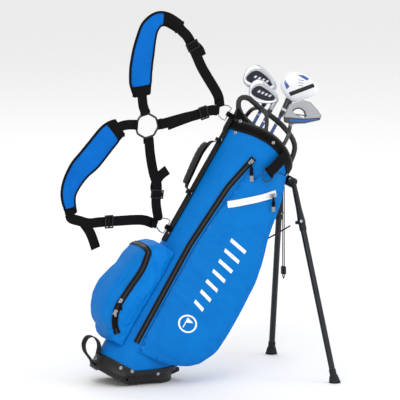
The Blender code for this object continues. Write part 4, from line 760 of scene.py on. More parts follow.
@dataclass
class Body:
    """The bag's tube, collar, mouth frame, base and spine."""

    skin_rows: int = 72
    spine_low: float = 356.0 * MM
    spine_wide: float = 28.0 * MM
    ring_low: float = 389.0 * MM
    ring_top: float = 704.0 * MM
    rivets_base: tuple = ((125.5, 30.0), (108.0, 36.0), (69.0, 62.0), (-108.0, 36.0), (-69.0, 62.0),
                          (180.0, 22.0))
    rivets_collar: tuple = ((156.0, 702.0), (95.0, 694.0), (36.0, 642.0), (-95.0, 694.0), (-156.0, 702.0))

    def skin(self) -> None:
        """The nylon tube with its dark lining."""
        def low(angle: float, u: float) -> float:
            return BAG.floor_w(u) + 7.0 * MM

        base, top = BAG.ring(0.0, low), BAG.ring(0.0, lambda a, u: BAG.rim_w(a))
        rings = []
        for row in range(self.skin_rows + 1):
            share = row / self.skin_rows
            ring = []
            for k, (a, b) in enumerate(zip(base, top)):
                angle = 2.0 * math.pi * k / len(base)
                w = lerp(a.z, b.z, share)
                dent = 1.6 * MM * max(0.0, noise.noise(Vector((math.cos(angle) * 2.2, math.sin(angle) * 2.2,
                                                               w * 9.0))))
                ring.append(BAG.shell(angle, w, -dent * min(1.0, 8.0 * share * (1.0 - share))))
            rings.append(ring)
        inner = [BAG.ring(-BAG.wall, lambda a, u: BAG.rim_w(a)), BAG.ring(-BAG.wall, low)]
        piece = add_piece("bag_skin", loft(rings + inner, closed=True), NYLON, "bag", ["bag_tube"])
        piece.data.materials.append(make_material(LINING))
        for polygon in piece.data.polygons:
            spot = TO_BAG @ polygon.center
            angle = math.atan2(-spot.y / BAG.half_width, (spot.x - BAG.shell(0.5 * math.pi,
                                                                             spot.z).x) / 95.0 / MM)
            if (spot - BAG.shell(angle, spot.z)).length > 2.6 * MM:
                polygon.material_index = 1

    def collar(self) -> None:
        """The bound collar under the mouth, with its two rows of stitches."""
        g, t = BAG.gap, 3.0 * MM
        levels = ((g, -21.0), (g + t * 0.7, -22.0), (g + t, -20.5), (g + t, -11.0), (g + t, -1.2),
                  (g + t * 0.7, 0.0), (g, 0.0))
        rings = [BAG.ring(out, lambda a, u, drop=drop: BAG.rim_w(a) + drop * MM) for out, drop in levels]
        add_piece("collar", loft(rings, closed=True), BINDING, "bag", ["top_collar"])
        for name, drop in (("collar_stitches_low", -18.5), ("collar_stitches_high", -3.0)):
            path = BAG.ring(g + t, lambda a, u, drop=drop: BAG.rim_w(a) + drop * MM)
            ups = [BAG.normal(2.0 * math.pi * k / len(path)) for k in range(len(path))]
            add_piece(name, stitches(path, ups), MOULDED_GREY, "bag")

    def mouth(self) -> None:
        """The moulded mouth frame with its arches, and the web that fills its rear corner."""
        refined("mouth_frame", "top_rim", MOULDED_GREY, "bag", 1.5 * MM, 5)
        parts = []
        for side in (-1.0, 1.0):
            corners = [Vector((-78.0 * MM, side * 3.0 * MM, BAG.length + 70.0 * MM)),
                       Vector((-54.0 * MM, side * 33.0 * MM, BAG.length + 53.0 * MM))]
            for angle in (134.0, 152.0, 172.0):
                a = math.radians(angle)
                point = BAG.shell(a, BAG.rim_w(a) + 4.0 * MM, -2.0 * MM)
                corners.append(Vector((point.x, -side * point.y, point.z)) if side > 0.0 else point)
            parts.append(slab(corners, Vector((-1.4 * MM, 0.0, 0.6 * MM))))
        add_piece("mouth_web", merge(parts), BINDING, "bag", bevel=0.4 * MM)

    def rivets(self) -> None:
        """Hollow rivets that hold the base, the collar and the spine."""
        parts = []
        for angle, w in self.rivets_base:
            a = math.radians(angle)
            parts.append(rivet(BAG.shell(a, w * MM, 3.4 * MM), BAG.normal(a)))
        for angle, w in self.rivets_collar:
            a = math.radians(angle)
            parts.append(rivet(BAG.shell(a, w * MM, 3.4 * MM), BAG.normal(a)))
        parts.append(rivet(BAG.shell(math.radians(155.5), 678.0 * MM, 0.3 * MM) - ALONG * 6.0 * MM,
                           BAG.normal(math.radians(155.5)), 5.2 * MM))
        for w in (640.0, 490.0, 378.0):
            parts.append(rivet(Vector((BAG.spine_u(w * MM), -8.0 * MM, w * MM)), Vector((-1.0, 0.0, 0.0)),
                               3.8 * MM))
        add_piece("rivets", merge(parts), NICKEL, "bag")

    def base(self) -> None:
        """The moulded base cup with a lip, two ribs around its heel and the ears of the foot's hinge."""
        g, t = BAG.gap, 3.0 * MM

        def wall(share: float) -> Callable[[float, float], float]:
            return lambda a, u: lerp(BAG.floor_w(u), BAG.cup_top_w(u), share)

        profile = ((g + t - 2.0 * MM, 0.0), (g + t, 0.05), (g + t, 0.22), (g + t + 0.9 * MM, 0.27),
                   (g + t + 0.9 * MM, 0.33), (g + t, 0.38), (g + t, 0.80), (g + t + 0.8 * MM, 0.86),
                   (g + t + 0.8 * MM, 0.96), (g + t, 1.0), (g, 1.0))
        rings = [BAG.ring(out, wall(share)) for out, share in profile]
        rings.append(BAG.ring(g, lambda a, u: BAG.floor_w(u) + 4.0 * MM))
        cup = loft(rings, caps=True)
        ears = []
        for side in (-1.0, 1.0):
            outline = [Vector((u * MM, side * 65.0 * MM, w * MM)) for u, w in (
                (-28, 10), (-25, 4), (-15, 4), (-12, 10), (-10, 36), (-30, 36))]
            ears.append(slab(outline, Vector((0.0, side * 5.0 * MM, 0.0))))
        add_piece("base_shell", merge([cup] + ears), MOULDED, "bag", ["base_cup"], bevel=0.6 * MM)
        pin = frame["nodes"]["base_hinge_pin"]
        pin.data.materials.clear()
        pin.data.materials.append(make_material(NICKEL))

    def spine(self) -> None:
        """The webbing strip up the bag's back with its sewn tunnels and tabs."""
        step = BAG.rim_w(math.pi) - BAG.collar_height
        levels = [self.spine_low + (step - 14.0 * MM - self.spine_low) * k / 24 for k in range(25)]
        levels += [step - 9.0 * MM, step - 5.0 * MM, step - 1.0 * MM, step + 10.0 * MM,
                   self.ring_top - 12.0 * MM, self.ring_top + 6.0 * MM]
        path = [Vector((BAG.spine_u(w) + 1.0 * MM, 0.0, w)) for w in levels]
        parts = [sweep(path, ACROSS, band_section(self.spine_wide, 2.2 * MM))]
        axis = BAG.spine_u(self.ring_low) - 9.0 * MM
        for w in (self.ring_low, self.ring_top):
            face = BAG.spine_u(w)
            outer, inner = round_section(5.0 * MM, 5.0 * MM, 20), round_section(2.6 * MM, 2.6 * MM, 20)
            rings = []
            for z, section in ((-6.0, inner), (-6.0, outer), (6.0, outer), (6.0, inner)):
                rings.append([Vector((axis + a, b, w + z * MM)) for a, b in section])
            parts.append(loft(rings, closed=True))
            parts.append(block(Vector(((axis + 3.6 * MM + face) / 2.0, 0.0, w)),
                               Vector(((face - axis - 3.6 * MM) / 2.0 + 0.6 * MM, 0.0, 0.0)),
                               ACROSS * 8.0 * MM, ALONG * 6.0 * MM))
        for w in (637.0 * MM, 490.0 * MM):
            parts.append(block(Vector((BAG.spine_u(w) - 3.4 * MM, 0.0, w)), Vector((4.6 * MM, 0.0, 0.0)),
                               ACROSS * 10.0 * MM, ALONG * 5.0 * MM))
        add_piece("spine_webbing", merge(parts), WEBBING, "bag", ["spine_strip"], bevel=0.4 * MM)
        rows = []
        for side in (-1.0, 1.0):
            line = [Vector((BAG.spine_u(w) - 0.1 * MM, side * (self.spine_wide / 2.0 - 2.6 * MM), w))
                    for w in levels[:25]]
            rows.append(stitches(line, [Vector((-1.0, 0.0, 0.0))] * len(line)))
        add_piece("spine_stitches", merge(rows), MOULDED_GREY, "bag")

    def build(self) -> None:
        """Builds the whole body."""
        for step in (self.skin, self.collar, self.mouth, self.base, self.spine, self.rivets):
            step()


# ------------------------------------------------------------------------------------------------------------
# Zips
# ------------------------------------------------------------------------------------------------------------
def zip_line(name: str, path: Path, sides: Path, node: str, tape: Finish, teeth: Finish,
             width: float) -> None:
    """A zip: its tape, two rows of coil and a row of stitches along each edge.

    Args:
        name: start of the pieces' names.
        path: middle line of the tape.
        sides: the direction across the tape at each point.
        node: the node that it stands for.
        tape: the tape's finish.
        teeth: the coil's finish.
        width: the tape's width.
    """
    add_piece(f"{name}_tape", sweep(path, sides, band_section(width, 1.6 * MM)), tape, "bag", [node])
    ups = []
    for i in range(len(path)):
        ahead = (path[min(i + 1, len(path) - 1)] - path[max(i - 1, 0)]).normalized()
        up = ahead.cross(sides[i])
        ups.append(up if up.dot(path[i] - Vector((0.0, 0.0, path[i].z))) > 0.0 else -up)
    coils, rows = [], []
    for shift in (-1.4 * MM, 1.4 * MM):
        line = [p + s * shift + up * 0.8 * MM for p, s, up in zip(path, sides, ups)]
        coils.append(sweep(line, sides, round_section(1.3 * MM, 0.9 * MM, 8)))
    add_piece(f"{name}_coil", merge(coils), teeth, "bag")
    for shift in (-width * 0.42, width * 0.42):
        line = [p + s * shift + up * 0.8 * MM for p, s, up in zip(path, sides, ups)]
        rows.append(stitches(line, ups))
    add_piece(f"{name}_stitches", merge(rows), MOULDED_GREY, "bag")


def slider(name: str, node: str, body: str) -> None:
    """A zip slider in plated metal that stands for a plain one, with its bridge."""
    refined(name, node, NICKEL, body, 0.5 * MM, 3)


def pull(name: str, node: str, body: str) -> None:
    """A corded zip pull with a grey moulded end."""
    piece = refined(name, node, WEBBING, body, 0.6 * MM, 3)
    piece.data.materials.append(make_material(PULL_TIP))
    low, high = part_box(node)
    for polygon in piece.data.polygons:
        if polygon.center.z < lerp(low[2], high[2], 0.3) or polygon.center.z > lerp(low[2], high[2], 0.9):
            polygon.material_index = 1


# ------------------------------------------------------------------------------------------------------------
# Pockets
# ------------------------------------------------------------------------------------------------------------
@dataclass
class SidePocket:
    """The long side pocket, its curved zip, the pale zip of the small pocket on it, and the print."""

    bottom: float = 85.0 * MM
    top: float = 640.0 * MM
    zip_width: float = 16.0 * MM
    pale_width: float = 17.0 * MM
    zip_angles: tuple = ((103.0, 124.0), (375.0, 127.0), (545.0, 120.0), (640.0, 107.5))
    corners: tuple = (
        (85, -48, -72), (88, 12, -92), (98, 58, -104), (110, 86, -112), (131, 108, -126), (169, 126, -136),
        (227, 132, -138), (300, 133, -138), (378, 131, -136), (430, 124, -126), (480, 114, -112),
        (571, 106, -96), (640, 97, -66),
    )

    def zip_angle(self, w: float) -> float:
        """Angle of the long zip around the bag."""
        return math.radians(table([(x * MM, y) for x, y in self.zip_angles], w))

    def corner(self, w: float) -> Vector:
        """The pocket's front corner at a level."""
        u = table([(x * MM, y * MM) for x, y, _ in self.corners], w)
        v = table([(x * MM, z * MM) for x, _, z in self.corners], w)
        return Vector((u, v, w))

    def panel(self, share: float, w: float) -> Vector:
        """A point of the outer panel; share runs from the zip, 0, to the front corner, 1."""
        edge = self.zip_angle(w) - (self.zip_width / 2.0 + 1.5 * MM) / BAG.half_width
        start = BAG.shell(edge, w, 6.0 * MM)
        corner = self.corner(w)
        chord = corner - start
        outward = Vector((chord.y, -chord.x, 0.0)).normalized()
        if outward.y > 0.0:
            outward = -outward
        middle = start.lerp(corner, 0.5) + outward * chord.length * 0.10
        return start * (1 - share) ** 2 + middle * 2.0 * share * (1 - share) + corner * share ** 2

    def pouch(self) -> bpy.types.Object:
        """The filled pocket: swelled between its seams, then creased."""
        piece = remeshed("side_pouch", frame["nodes"]["side_pocket"], 5.0 * MM, 4)
        seams = BAG.half_width + 5.0 * MM

        def sewn(spot: Vector) -> bool:
            angle = math.atan2(-spot.y / BAG.half_width, (spot.x - 12.0 * MM) / (95.0 * MM))
            close = (spot - BAG.shell(angle, spot.z)).length < 5.0 * MM
            return close or abs(spot.y) < seams * 0.4 or (spot - self.corner(spot.z)).length < 5.0 * MM

        inflate(piece, 2.2, 6.0 * MM, sewn, 0.02)
        finer = piece.modifiers.new("Finer", "SUBSURF")
        finer.levels = finer.render_levels = 1
        bake_modifiers(piece)
        ripple(piece, 1.4 * MM, 34.0 * MM, 3.0)
        piece.data.shade_smooth()
        dress(piece, NYLON, "bag", ["side_pocket"])
        return piece

    def seams(self, surface: Surface) -> None:
        """Piping along the front edge and the bottom, with a row of stitches beside it."""
        edge = smooth([self.corner(row[0] * MM) for row in self.corners], 6)
        path, sides = surface.laid(edge, 0.4 * MM)
        # painted highlight: the piping takes the lighter copy of the nylon
        add_piece("pocket_piping", sweep(path, sides, round_section(1.5 * MM, 1.3 * MM, 10)), NYLON_PAINTED_HIGHLIGHT,
                  "bag")
        inner = smooth([self.panel(0.93, row[0] * MM) for row in self.corners[1:]], 6)
        path, _ = surface.laid(inner, 0.2 * MM)
        ups = [surface.near(p, 0.0)[1] for p in path]
        rows = [stitches(path, ups)]
        beside = smooth([self.panel(0.035, w * MM) for w in range(110, 631, 40)], 6)
        path, _ = surface.laid(beside, 0.2 * MM)
        rows.append(stitches(path, [surface.near(p, 0.0)[1] for p in path]))
        hem = smooth([self.panel(s / 10.0, lerp(98.0, 118.0, s / 10.0) * MM) for s in range(0, 11)], 4)
        path, _ = surface.laid(hem, 0.2 * MM)
        rows.append(stitches(path, [surface.near(p, 0.0)[1] for p in path]))
        add_piece("pocket_stitches", merge(rows), BLUE_PANEL, "bag")

    def long_zip(self) -> None:
        """The black zip up the pocket's rear edge."""
        path, sides = [], []
        for k in range(49):
            w = lerp(103.0 * MM, 638.0 * MM, k / 48.0)
            angle = self.zip_angle(w)
            path.append(BAG.shell(angle, w, 1.9 * MM))
            sides.append((BAG.shell(angle - 0.05, w) - BAG.shell(angle + 0.05, w)).normalized())
        zip_line("long_zip", path, sides, "side_zip", ZIP_COIL, MOULDED_GREY, self.zip_width)
        flap = [p + s * (self.zip_width / 2.0 + 0.6 * MM) + Vector((0.0, -0.6 * MM, 0.0)) for p,
                s in zip(path, sides)]
        # painted highlight: the welt takes the lighter copy of the nylon
        add_piece("long_zip_welt", sweep(flap, sides, round_section(1.4 * MM, 1.2 * MM, 10)), NYLON_PAINTED_HIGHLIGHT,
                  "bag")

    def pale_zip(self, surface: Surface) -> None:
        """The coated zip of the small pocket, with a sewn frame around it."""
        low, high = Vector(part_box("valuables_zip")[0]), Vector(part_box("valuables_zip")[1])
        left = TO_BAG @ Vector((low.x, low.y, lerp(low.z, high.z, 0.23)))
        right = TO_BAG @ Vector((high.x, low.y, lerp(low.z, high.z, 0.77)))
        count = 24
        path = [surface.shot(lerp(left.x, right.x, k / count), lerp(left.z, right.z, k / count), 1.0 * MM)
                for k in range(count + 1)]
        places, ups = [p for p, _ in path], [n for _, n in path]
        for _ in range(6):
            places = ([places[0]] + [(a + b * 2.0 + c) / 4.0 for a, b,
                                     c in zip(places, places[1:], places[2:])]
                      + [places[-1]])
        sides = [n.cross(right - left).normalized() for n in ups]
        add_piece("pale_zip_tape", sweep(places, sides, band_section(self.pale_width, 1.8 * MM)), COATED_ZIP,
                  "bag", ["valuables_zip"])
        ridge = [p + n * 1.2 * MM for p, n in zip(places, ups)]
        add_piece("pale_zip_ridge", sweep(ridge, sides, round_section(1.6 * MM, 0.7 * MM, 8)), COATED_ZIP,
                  "bag")
        rows = []
        for shift in (-0.64, 0.64):
            line = [p + s * self.pale_width * shift for p, s in zip(places, sides)]
            line, _ = surface.laid(line, 0.2 * MM)
            rows.append(stitches(line, ups))
        add_piece("pale_zip_stitches", merge(rows), BLUE_PANEL, "bag")

    def print_shape(self, surface: Surface, grid: Callable[[float, float], tuple[float, float]], nx: int,
                    ny: int, loop: bool = False) -> bmesh.types.BMesh:
        """A thin printed shape laid on the pocket.

        Args:
            surface: the pocket.
            grid: gives u and w for two shares from 0 to 1.
            nx: steps of the first share.
            ny: steps of the second share.
            loop: the first share is a full turn.
        Returns:
            The shape's bmesh.
        """
        bm = bmesh.new()
        rows = []
        for j in range(ny + 1):
            row = []
            for i in range(nx if loop else nx + 1):
                u, w = grid(i / nx, j / ny)
                row.append(bm.verts.new(surface.shot(u, w, 0.35 * MM)[0]))
            rows.append(row)
        for a, b in zip(rows, rows[1:]):
            for i in range(nx):
                k = (i + 1) % len(a) if loop else i + 1
                bm.faces.new((a[i], a[k], b[k], b[i]))
        return bm

    def motif(self, surface: Surface) -> None:
        """A plain printed motif: a pennant in a ring, and a rising row of slanted bars."""
        centre_u, centre_w, radius = 30.0 * MM, 203.0 * MM, 22.0 * MM

        def ring(a: float, b: float) -> tuple[float, float]:
            r = radius * lerp(0.82, 1.0, b)
            return centre_u + r * math.cos(2.0 * math.pi * a), centre_w + r * math.sin(2.0 * math.pi * a)

        def pole(a: float, b: float) -> tuple[float, float]:
            return centre_u + lerp(-7.0, -4.6, a) * MM, centre_w + lerp(-13.0, 14.0, b) * MM

        def pennant(a: float, b: float) -> tuple[float, float]:
            return centre_u + lerp(-4.6, 11.0, a) * MM, centre_w + lerp(8.0, lerp(1.0, 13.5, b), 1.0 - a) * MM

        shapes = [self.print_shape(surface, ring, 40, 2, True), self.print_shape(surface, pole, 1, 8),
                  self.print_shape(surface, pennant, 6, 4)]
        for k in range(7):
            start = 246.0 + 29.0 * k
            tall = 15.0 + 1.6 * k

            def bar(a: float, b: float, start: float = start, tall: float = tall, k: int = k
                    ) -> tuple[float, float]:
                middle = 33.0 + 2.9 * k
                return (middle + lerp(-tall, tall, b) * 0.9) * MM, (start + 9.0 * a + 10.0 * (1.0 - b)) * MM

            shapes.append(self.print_shape(surface, bar, 3, 8))
        add_piece("pocket_print", merge(shapes), PRINT, "bag")

    def build(self) -> None:
        """Builds the pocket with everything on it."""
        surface = Surface(self.pouch())
        self.long_zip()
        self.seams(surface)
        self.pale_zip(surface)
        self.motif(surface)
        slider("side_zip_runner", "side_zip_slider", "side_slider")
        pull("side_zip_tab", "side_zip_pull", "side_pull")
        slider("pale_zip_runner", "valuables_zip_slider", "valuables_slider")
        pull("pale_zip_tab", "valuables_zip_pull", "valuables_pull")


@dataclass
class BallPocket:
    """The ball pocket low on the bag's back, with a zip over its top from side to side."""

    low: float = 76.0 * MM
    half: float = 66.0 * MM
    zip_width: float = 16.0 * MM
    side_route: tuple = ((-100, 98), (-119, 113), (-131, 138), (-136, 164), (-131, 205), (-125, 240),
                         (-124, 275), (-131, 305))
    top_route: tuple = ((-139, 60, 321), (-143, 44, 326), (-145, 21, 327))

    def pouch(self) -> bpy.types.Object:
        """The filled pocket with its slack, wrinkled gusset."""
        piece = remeshed("ball_pouch", frame["nodes"]["ball_pocket"], 4.5 * MM, 5)

        def sewn(spot: Vector) -> bool:
            angle = math.atan2(-spot.y / BAG.half_width, (spot.x - 8.0 * MM) / (93.0 * MM))
            return (spot - BAG.shell(angle, spot.z)).length < 5.0 * MM

        inflate(piece, 2.6, 6.0 * MM, sewn, 0.05)
        finer = piece.modifiers.new("Finer", "SUBSURF")
        finer.levels = finer.render_levels = 1
        bake_modifiers(piece)
        ripple(piece, 1.8 * MM, 30.0 * MM, 9.0, 0.3)
        piece.data.shade_smooth()
        dress(piece, NYLON, "bag", ["ball_pocket"])
        # painted highlight: the gusset in front of the zip takes the lighter copy of the nylon
        piece.data.materials.append(make_material(NYLON_PAINTED_HIGHLIGHT))
        for polygon in piece.data.polygons:
            spot = TO_BAG @ polygon.center
            if spot.x > table([(w * MM, u * MM) for u, w in self.side_route], spot.z):
                polygon.material_index = 1
        return piece

    def zip(self, surface: Surface) -> None:
        """The zip from the lower right corner, over the top, to the lower left corner."""
        side = -(self.half + 2.2 * MM)
        half = [Vector((u * MM, side, w * MM)) for u, w in self.side_route]
        half += [Vector((u * MM, -v * MM, w * MM)) for u, v, w in self.top_route]
        route = smooth(half + [Vector((p.x, -p.y, p.z)) for p in reversed(half)], 5)
        path, sides = surface.laid(route, 1.2 * MM, 4)
        zip_line("ball_zip", path, sides, "ball_pocket_zip", ZIP_COIL, MOULDED_GREY, self.zip_width)

    def build(self) -> None:
        """Builds the pocket, its zip and its sliders."""
        surface = Surface(self.pouch())
        self.zip(surface)
        for name in ("ball_zip_slider_upper", "ball_zip_slider_lower"):
            piece = refined(f"{name}_runner", name, NICKEL, name.replace("ball_zip_slider", "ball_slider"),
                            0.6 * MM, 3)
            piece.data.materials.append(make_material(WEBBING))
            low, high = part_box(name)
            for polygon in piece.data.polygons:
                if polygon.center.z < lerp(low[2], high[2], 0.62):
                    polygon.material_index = 1


# ------------------------------------------------------------------------------------------------------------
# Harness, handle and small hardware
# ------------------------------------------------------------------------------------------------------------
def flat_point(u: float, w: float, v: float = 0.0) -> Vector:
    """A point of the harness from millimetres in the bag's middle plane."""
    return Vector((BAG.spine_u(389.0 * MM) - 9.0 * MM + (u + 91.0) * MM, v, w * MM))


@dataclass
class Harness:
    """The double shoulder harness: ring, pads, webs with ladder locks and the D-rings."""

    web_width: float = 25.0 * MM
    web_thick: float = 1.5 * MM
    lane: float = 3.3 * MM
    pads: dict = field(default_factory=lambda: {
        "upper": ([(-319, 641), (-339, 667), (-356, 698), (-371, 735), (-382, 768), (-387, 795), (-379, 820),
                   (-360, 832), (-335, 833), (-316, 831)], [40, 54, 56, 54, 48, 44, 36, 30, 28, 27],
                  [(-291, 610), (-303, 620), (-316, 637), (-330, 655)], (0.09, 0.74)),
        "lower": ([(-331, 545), (-345, 515), (-359, 445), (-370, 406), (-371, 364), (-361, 333), (-334, 303)],
                  [44, 58, 60, 54, 44, 34, 24], [(-298, 569), (-315, 560), (-330, 547), (-338, 530)],
                  (0.13, 0.93)),
    })
    webs: dict = field(default_factory=lambda: {
        "top": (1.0, 3, [(-307, 827), (-281, 819), (-243, 794), (-206, 769), (-142, 735), (-123, 716)],
                [(-264, 812), (-241, 807), (-224, 796)]),
        "upper": (-1.0, 7, [(-240, 600), (-222, 616), (-192, 643), (-168, 663), (-140, 690), (-123, 699)],
                  [(-160, 671), (-185, 645), (-206, 622), (-220, 606)]),
        "lower": (-1.0, 7, [(-246, 553), (-224, 523), (-195, 490), (-168, 465), (-150, 429), (-124, 397)],
                  [(-156, 446), (-172, 462), (-173, 488), (-162, 512)]),
        "bottom": (1.0, 7, [(-325, 293), (-304, 297), (-279, 303), (-255, 318), (-210, 345), (-158, 374),
                            (-124, 381)], [(-296, 300), (-272, 290), (-252, 278), (-227, 258)]),
    })

    def pad(self, place: str) -> None:
        """A shoulder pad: mesh over foam, bound edges, end patches and the webbing to the ring."""
        points, widths, link, (low, high) = self.pads[place]
        node = f"harness_pad_{place}"
        line = smooth([flat_point(u, w) for u, w in points], 8)
        sides = in_plane(line)
        rows = list(enumerate(widths))

        def half(i: float) -> float:
            return table(rows, i / 8.0) * MM / 2.0

        rings = []
        for i, (point, flat) in enumerate(zip(line, sides)):
            ends = min(1.0, i / 5.0, (len(line) - 1 - i) / 5.0) * 0.5 + 0.5
            section = []
            for k in range(20):
                a = 2.0 * math.pi * k / 20
                across = math.copysign(abs(math.cos(a)) ** 0.75, math.cos(a)) * (half(i) - 1.5 * MM)
                up = math.copysign(abs(math.sin(a)) ** 0.9, math.sin(a)) * 6.3 * MM * ends
                section.append(point + flat * across + ACROSS * up)
            rings.append(section)
        piece = add_piece(f"shoulder_pad_{place}", loft(rings), AIR_MESH, "harness", [node])
        last = len(line) - 1
        sewn = [p for i, p in enumerate(line) if i <= round(low * last) + 1 or i >= round(high * last) - 1]
        inflate(piece, 1.5, 2.0 * MM,
                lambda spot: min((spot - p).length for p in sewn) < 0.75 * max(widths) * MM / 1.5)
        edge = [p + s * half(i) for i, (p, s) in enumerate(zip(line, sides))]
        edge += [p - s * half(i) for i, (p, s) in reversed(list(enumerate(zip(line, sides))))]
        rim = smooth(edge + [edge[0]], 2)[:-1]
        add_piece(f"pad_binding_{place}", sweep(rim, ACROSS, round_section(3.4 * MM, 3.2 * MM, 10),
                                                closed=True),
                  BINDING, "harness")
        for name, start, end in (("near_ring", 0.0, low), ("far_end", high, 1.0)):
            first, last = round(start * (len(line) - 1)), round(end * (len(line) - 1))
            patch = []
            for i in range(first, last + 1):
                fit = min(1.0, i / 5.0, (len(line) - 1 - i) / 5.0) * 0.5 + 0.5
                section = []
                for k in range(20):
                    a = 2.0 * math.pi * k / 20
                    across = math.copysign(abs(math.cos(a)) ** 0.6, math.cos(a)) * (half(i) + 0.3 * MM)
                    up = math.copysign(abs(math.sin(a)) ** 0.7, math.sin(a)) * 7.0 * MM * fit
                    section.append(line[i] + sides[i] * across + ACROSS * up)
                patch.append(section)
            if len(patch) > 1:
                add_piece(f"pad_patch_{place}_{name}", loft(patch), BINDING, "harness", bevel=0.5 * MM)
        lead = smooth([flat_point(u, w) for u, w in link], 5)
        self.loop_of(f"pad_lead_{place}", lead, in_plane(lead), True)

    def loop_of(self, name: str, path: Path, sides: Path, at_ring: bool) -> None:
        """A doubled web whose first end wraps around the ring's wire."""
        thick = self.web_thick
        centre = flat_point(-268, 581)
        inward = (centre - path[0]).normalized()
        wrap = [path[0] + inward * d * MM + ACROSS * v * MM for d, v in (
            (0.0, 2.4), (4.0, 3.6), (7.5, 2.6), (8.6, 0.0), (7.5, -2.6), (4.0, -3.6),
            (0.0, -2.4))] if at_ring else []
        near = [p + ACROSS * (thick * 0.8) for p in reversed(path)]
        far = [p - ACROSS * (thick * 0.8) for p in path]
        route = near + wrap + far
        across = list(reversed(sides)) + [sides[0]] * len(wrap) + list(sides)
        add_piece(name, sweep(route, across, band_section(self.web_width - 1.0 * MM, thick * 0.9)), WEBBING,
                  "harness")

    def lock(self, place: str, path: Path, index: int) -> None:
        """A moulded ladder lock: a frame with three bars that its webbing is threaded over."""
        at = index * 3
        ahead = (path[at + 1] - path[at - 1]).normalized()
        across = Vector((ahead.z, 0.0, -ahead.x))
        centre = path[at] - ACROSS * 3.6 * MM
        half_long, half_wide = 11.0 * MM, self.web_width / 2.0 + 4.0 * MM
        parts = []
        for s in (-1.0, 1.0):
            parts.append(block(centre + across * s * (half_wide - 1.7 * MM), ahead * half_long,
                               across * 1.7 * MM, ACROSS * 1.9 * MM))
        for share, thick in ((-0.86, 1.6), (0.0, 1.5), (0.86, 1.6)):
            parts.append(block(centre + ahead * half_long * share - ACROSS * (0.5 if share else -0.6) * MM,
                               ahead * thick * MM, across * half_wide, ACROSS * 1.6 * MM))
        add_piece(f"ladder_lock_frame_{place}", merge(parts), MOULDED, "harness", [f"ladder_lock_{place}"],
                  bevel=0.7 * MM)
        over = [centre + ahead * d * MM - ACROSS * v * MM for d, v in (
            (-10.5, -1.6), (-6.0, 0.6), (-2.5, 2.4), (0.0, 2.7), (2.5, 2.4), (6.0, 0.6), (10.5, -1.6))]
        route = smooth(over, 3)
        add_piece(f"ladder_lock_web_{place}", sweep(route, across, band_section(self.web_width - 1.5 * MM,
                                                                                1.3 * MM)),
                  WEBBING, "harness")

    def web(self, place: str) -> None:
        """One web: a doubled strap between its ends, with its tail and its ladder lock."""
        side, index, points, tail = self.webs[place]
        lead = {"top": [(-319, 832)], "bottom": [(-335, 300)]}.get(place, [])
        path = smooth([flat_point(u, w, side * self.lane) for u, w in lead + points], 6)
        sides = in_plane(path)
        parts = [sweep(path, sides, band_section(self.web_width, self.web_thick))]
        close = [p + ACROSS * side * (1.5 * MM) + s * 0.8 * MM for p, s in zip(path, sides)]
        parts.append(sweep(close, sides, band_section(self.web_width - 1.0 * MM, self.web_thick)))
        end = path[-1]
        ahead = (path[-1] - path[-2]).normalized()
        wrap = [end + ahead * d * MM - ACROSS * side * v * MM for d, v in (
            (-6.0, 0.0), (0.0, 0.2), (4.5, 1.4), (6.4, 3.4), (4.6, 5.6), (0.0, 6.5), (-9.0, 6.3))]
        wrap = smooth(wrap, 4)
        parts.append(sweep(wrap, sides[-1], band_section(self.web_width * 0.8, self.web_thick)))
        if place in ("upper", "lower"):
            start = path[0]
            back = (path[0] - path[1]).normalized()
            wrap = [start + back * d * MM - ACROSS * side * v * MM for d, v in (
                (-6.0, 0.0), (0.0, 0.2), (4.5, 0.9), (6.6, 3.3), (4.6, 5.7), (0.0, 6.5), (-9.0, 6.3))]
            wrap = smooth(wrap, 4)
            parts.append(sweep(wrap, sides[0], band_section(self.web_width, self.web_thick)))
        loose = smooth([flat_point(u, w, side * self.lane + 1.2 * MM) for u, w in tail], 6)
        curl = [p + ACROSS * 5.0 * MM * (i / len(loose)) ** 2 for i, p in enumerate(loose)]
        parts.append(sweep(curl, in_plane(curl), band_section(self.web_width, self.web_thick)))
        add_piece(f"harness_strap_{place}", merge(parts), WEBBING, "harness", [f"harness_web_{place}"])
        self.lock(place, smooth([flat_point(u, w, side * self.lane) for u, w in points], 6), index)

    def ring(self) -> None:
        """The plated ring in the middle, an octagon with soft corners."""
        centre = flat_point(-268, 581)
        path = []
        for k in range(64):
            a = 2.0 * math.pi * k / 64
            r = 28.4 * MM / math.cos((a + math.pi / 8.0) % (math.pi / 4.0) - math.pi / 8.0) ** 0.75
            path.append(centre + Vector((math.cos(a), 0.0, math.sin(a))) * r)
        add_piece("harness_ring_wire", sweep(path, ACROSS, round_section(2.6 * MM, 2.6 * MM, 12),
                                             closed=True),
                  GUNMETAL, "harness", ["harness_ring"])

    def d_rings(self) -> None:
        """Both D-rings keep their shape and get their plating."""
        for node in ("d_ring_upper", "d_ring_lower"):
            wire = frame["nodes"][node]
            wire.data.materials.clear()
            wire.data.materials.append(make_material(NICKEL))

    def build(self) -> None:
        """Builds the whole harness."""
        self.ring()
        for place in self.pads:
            self.pad(place)
        for place in self.webs:
            self.web(place)
        self.d_rings()


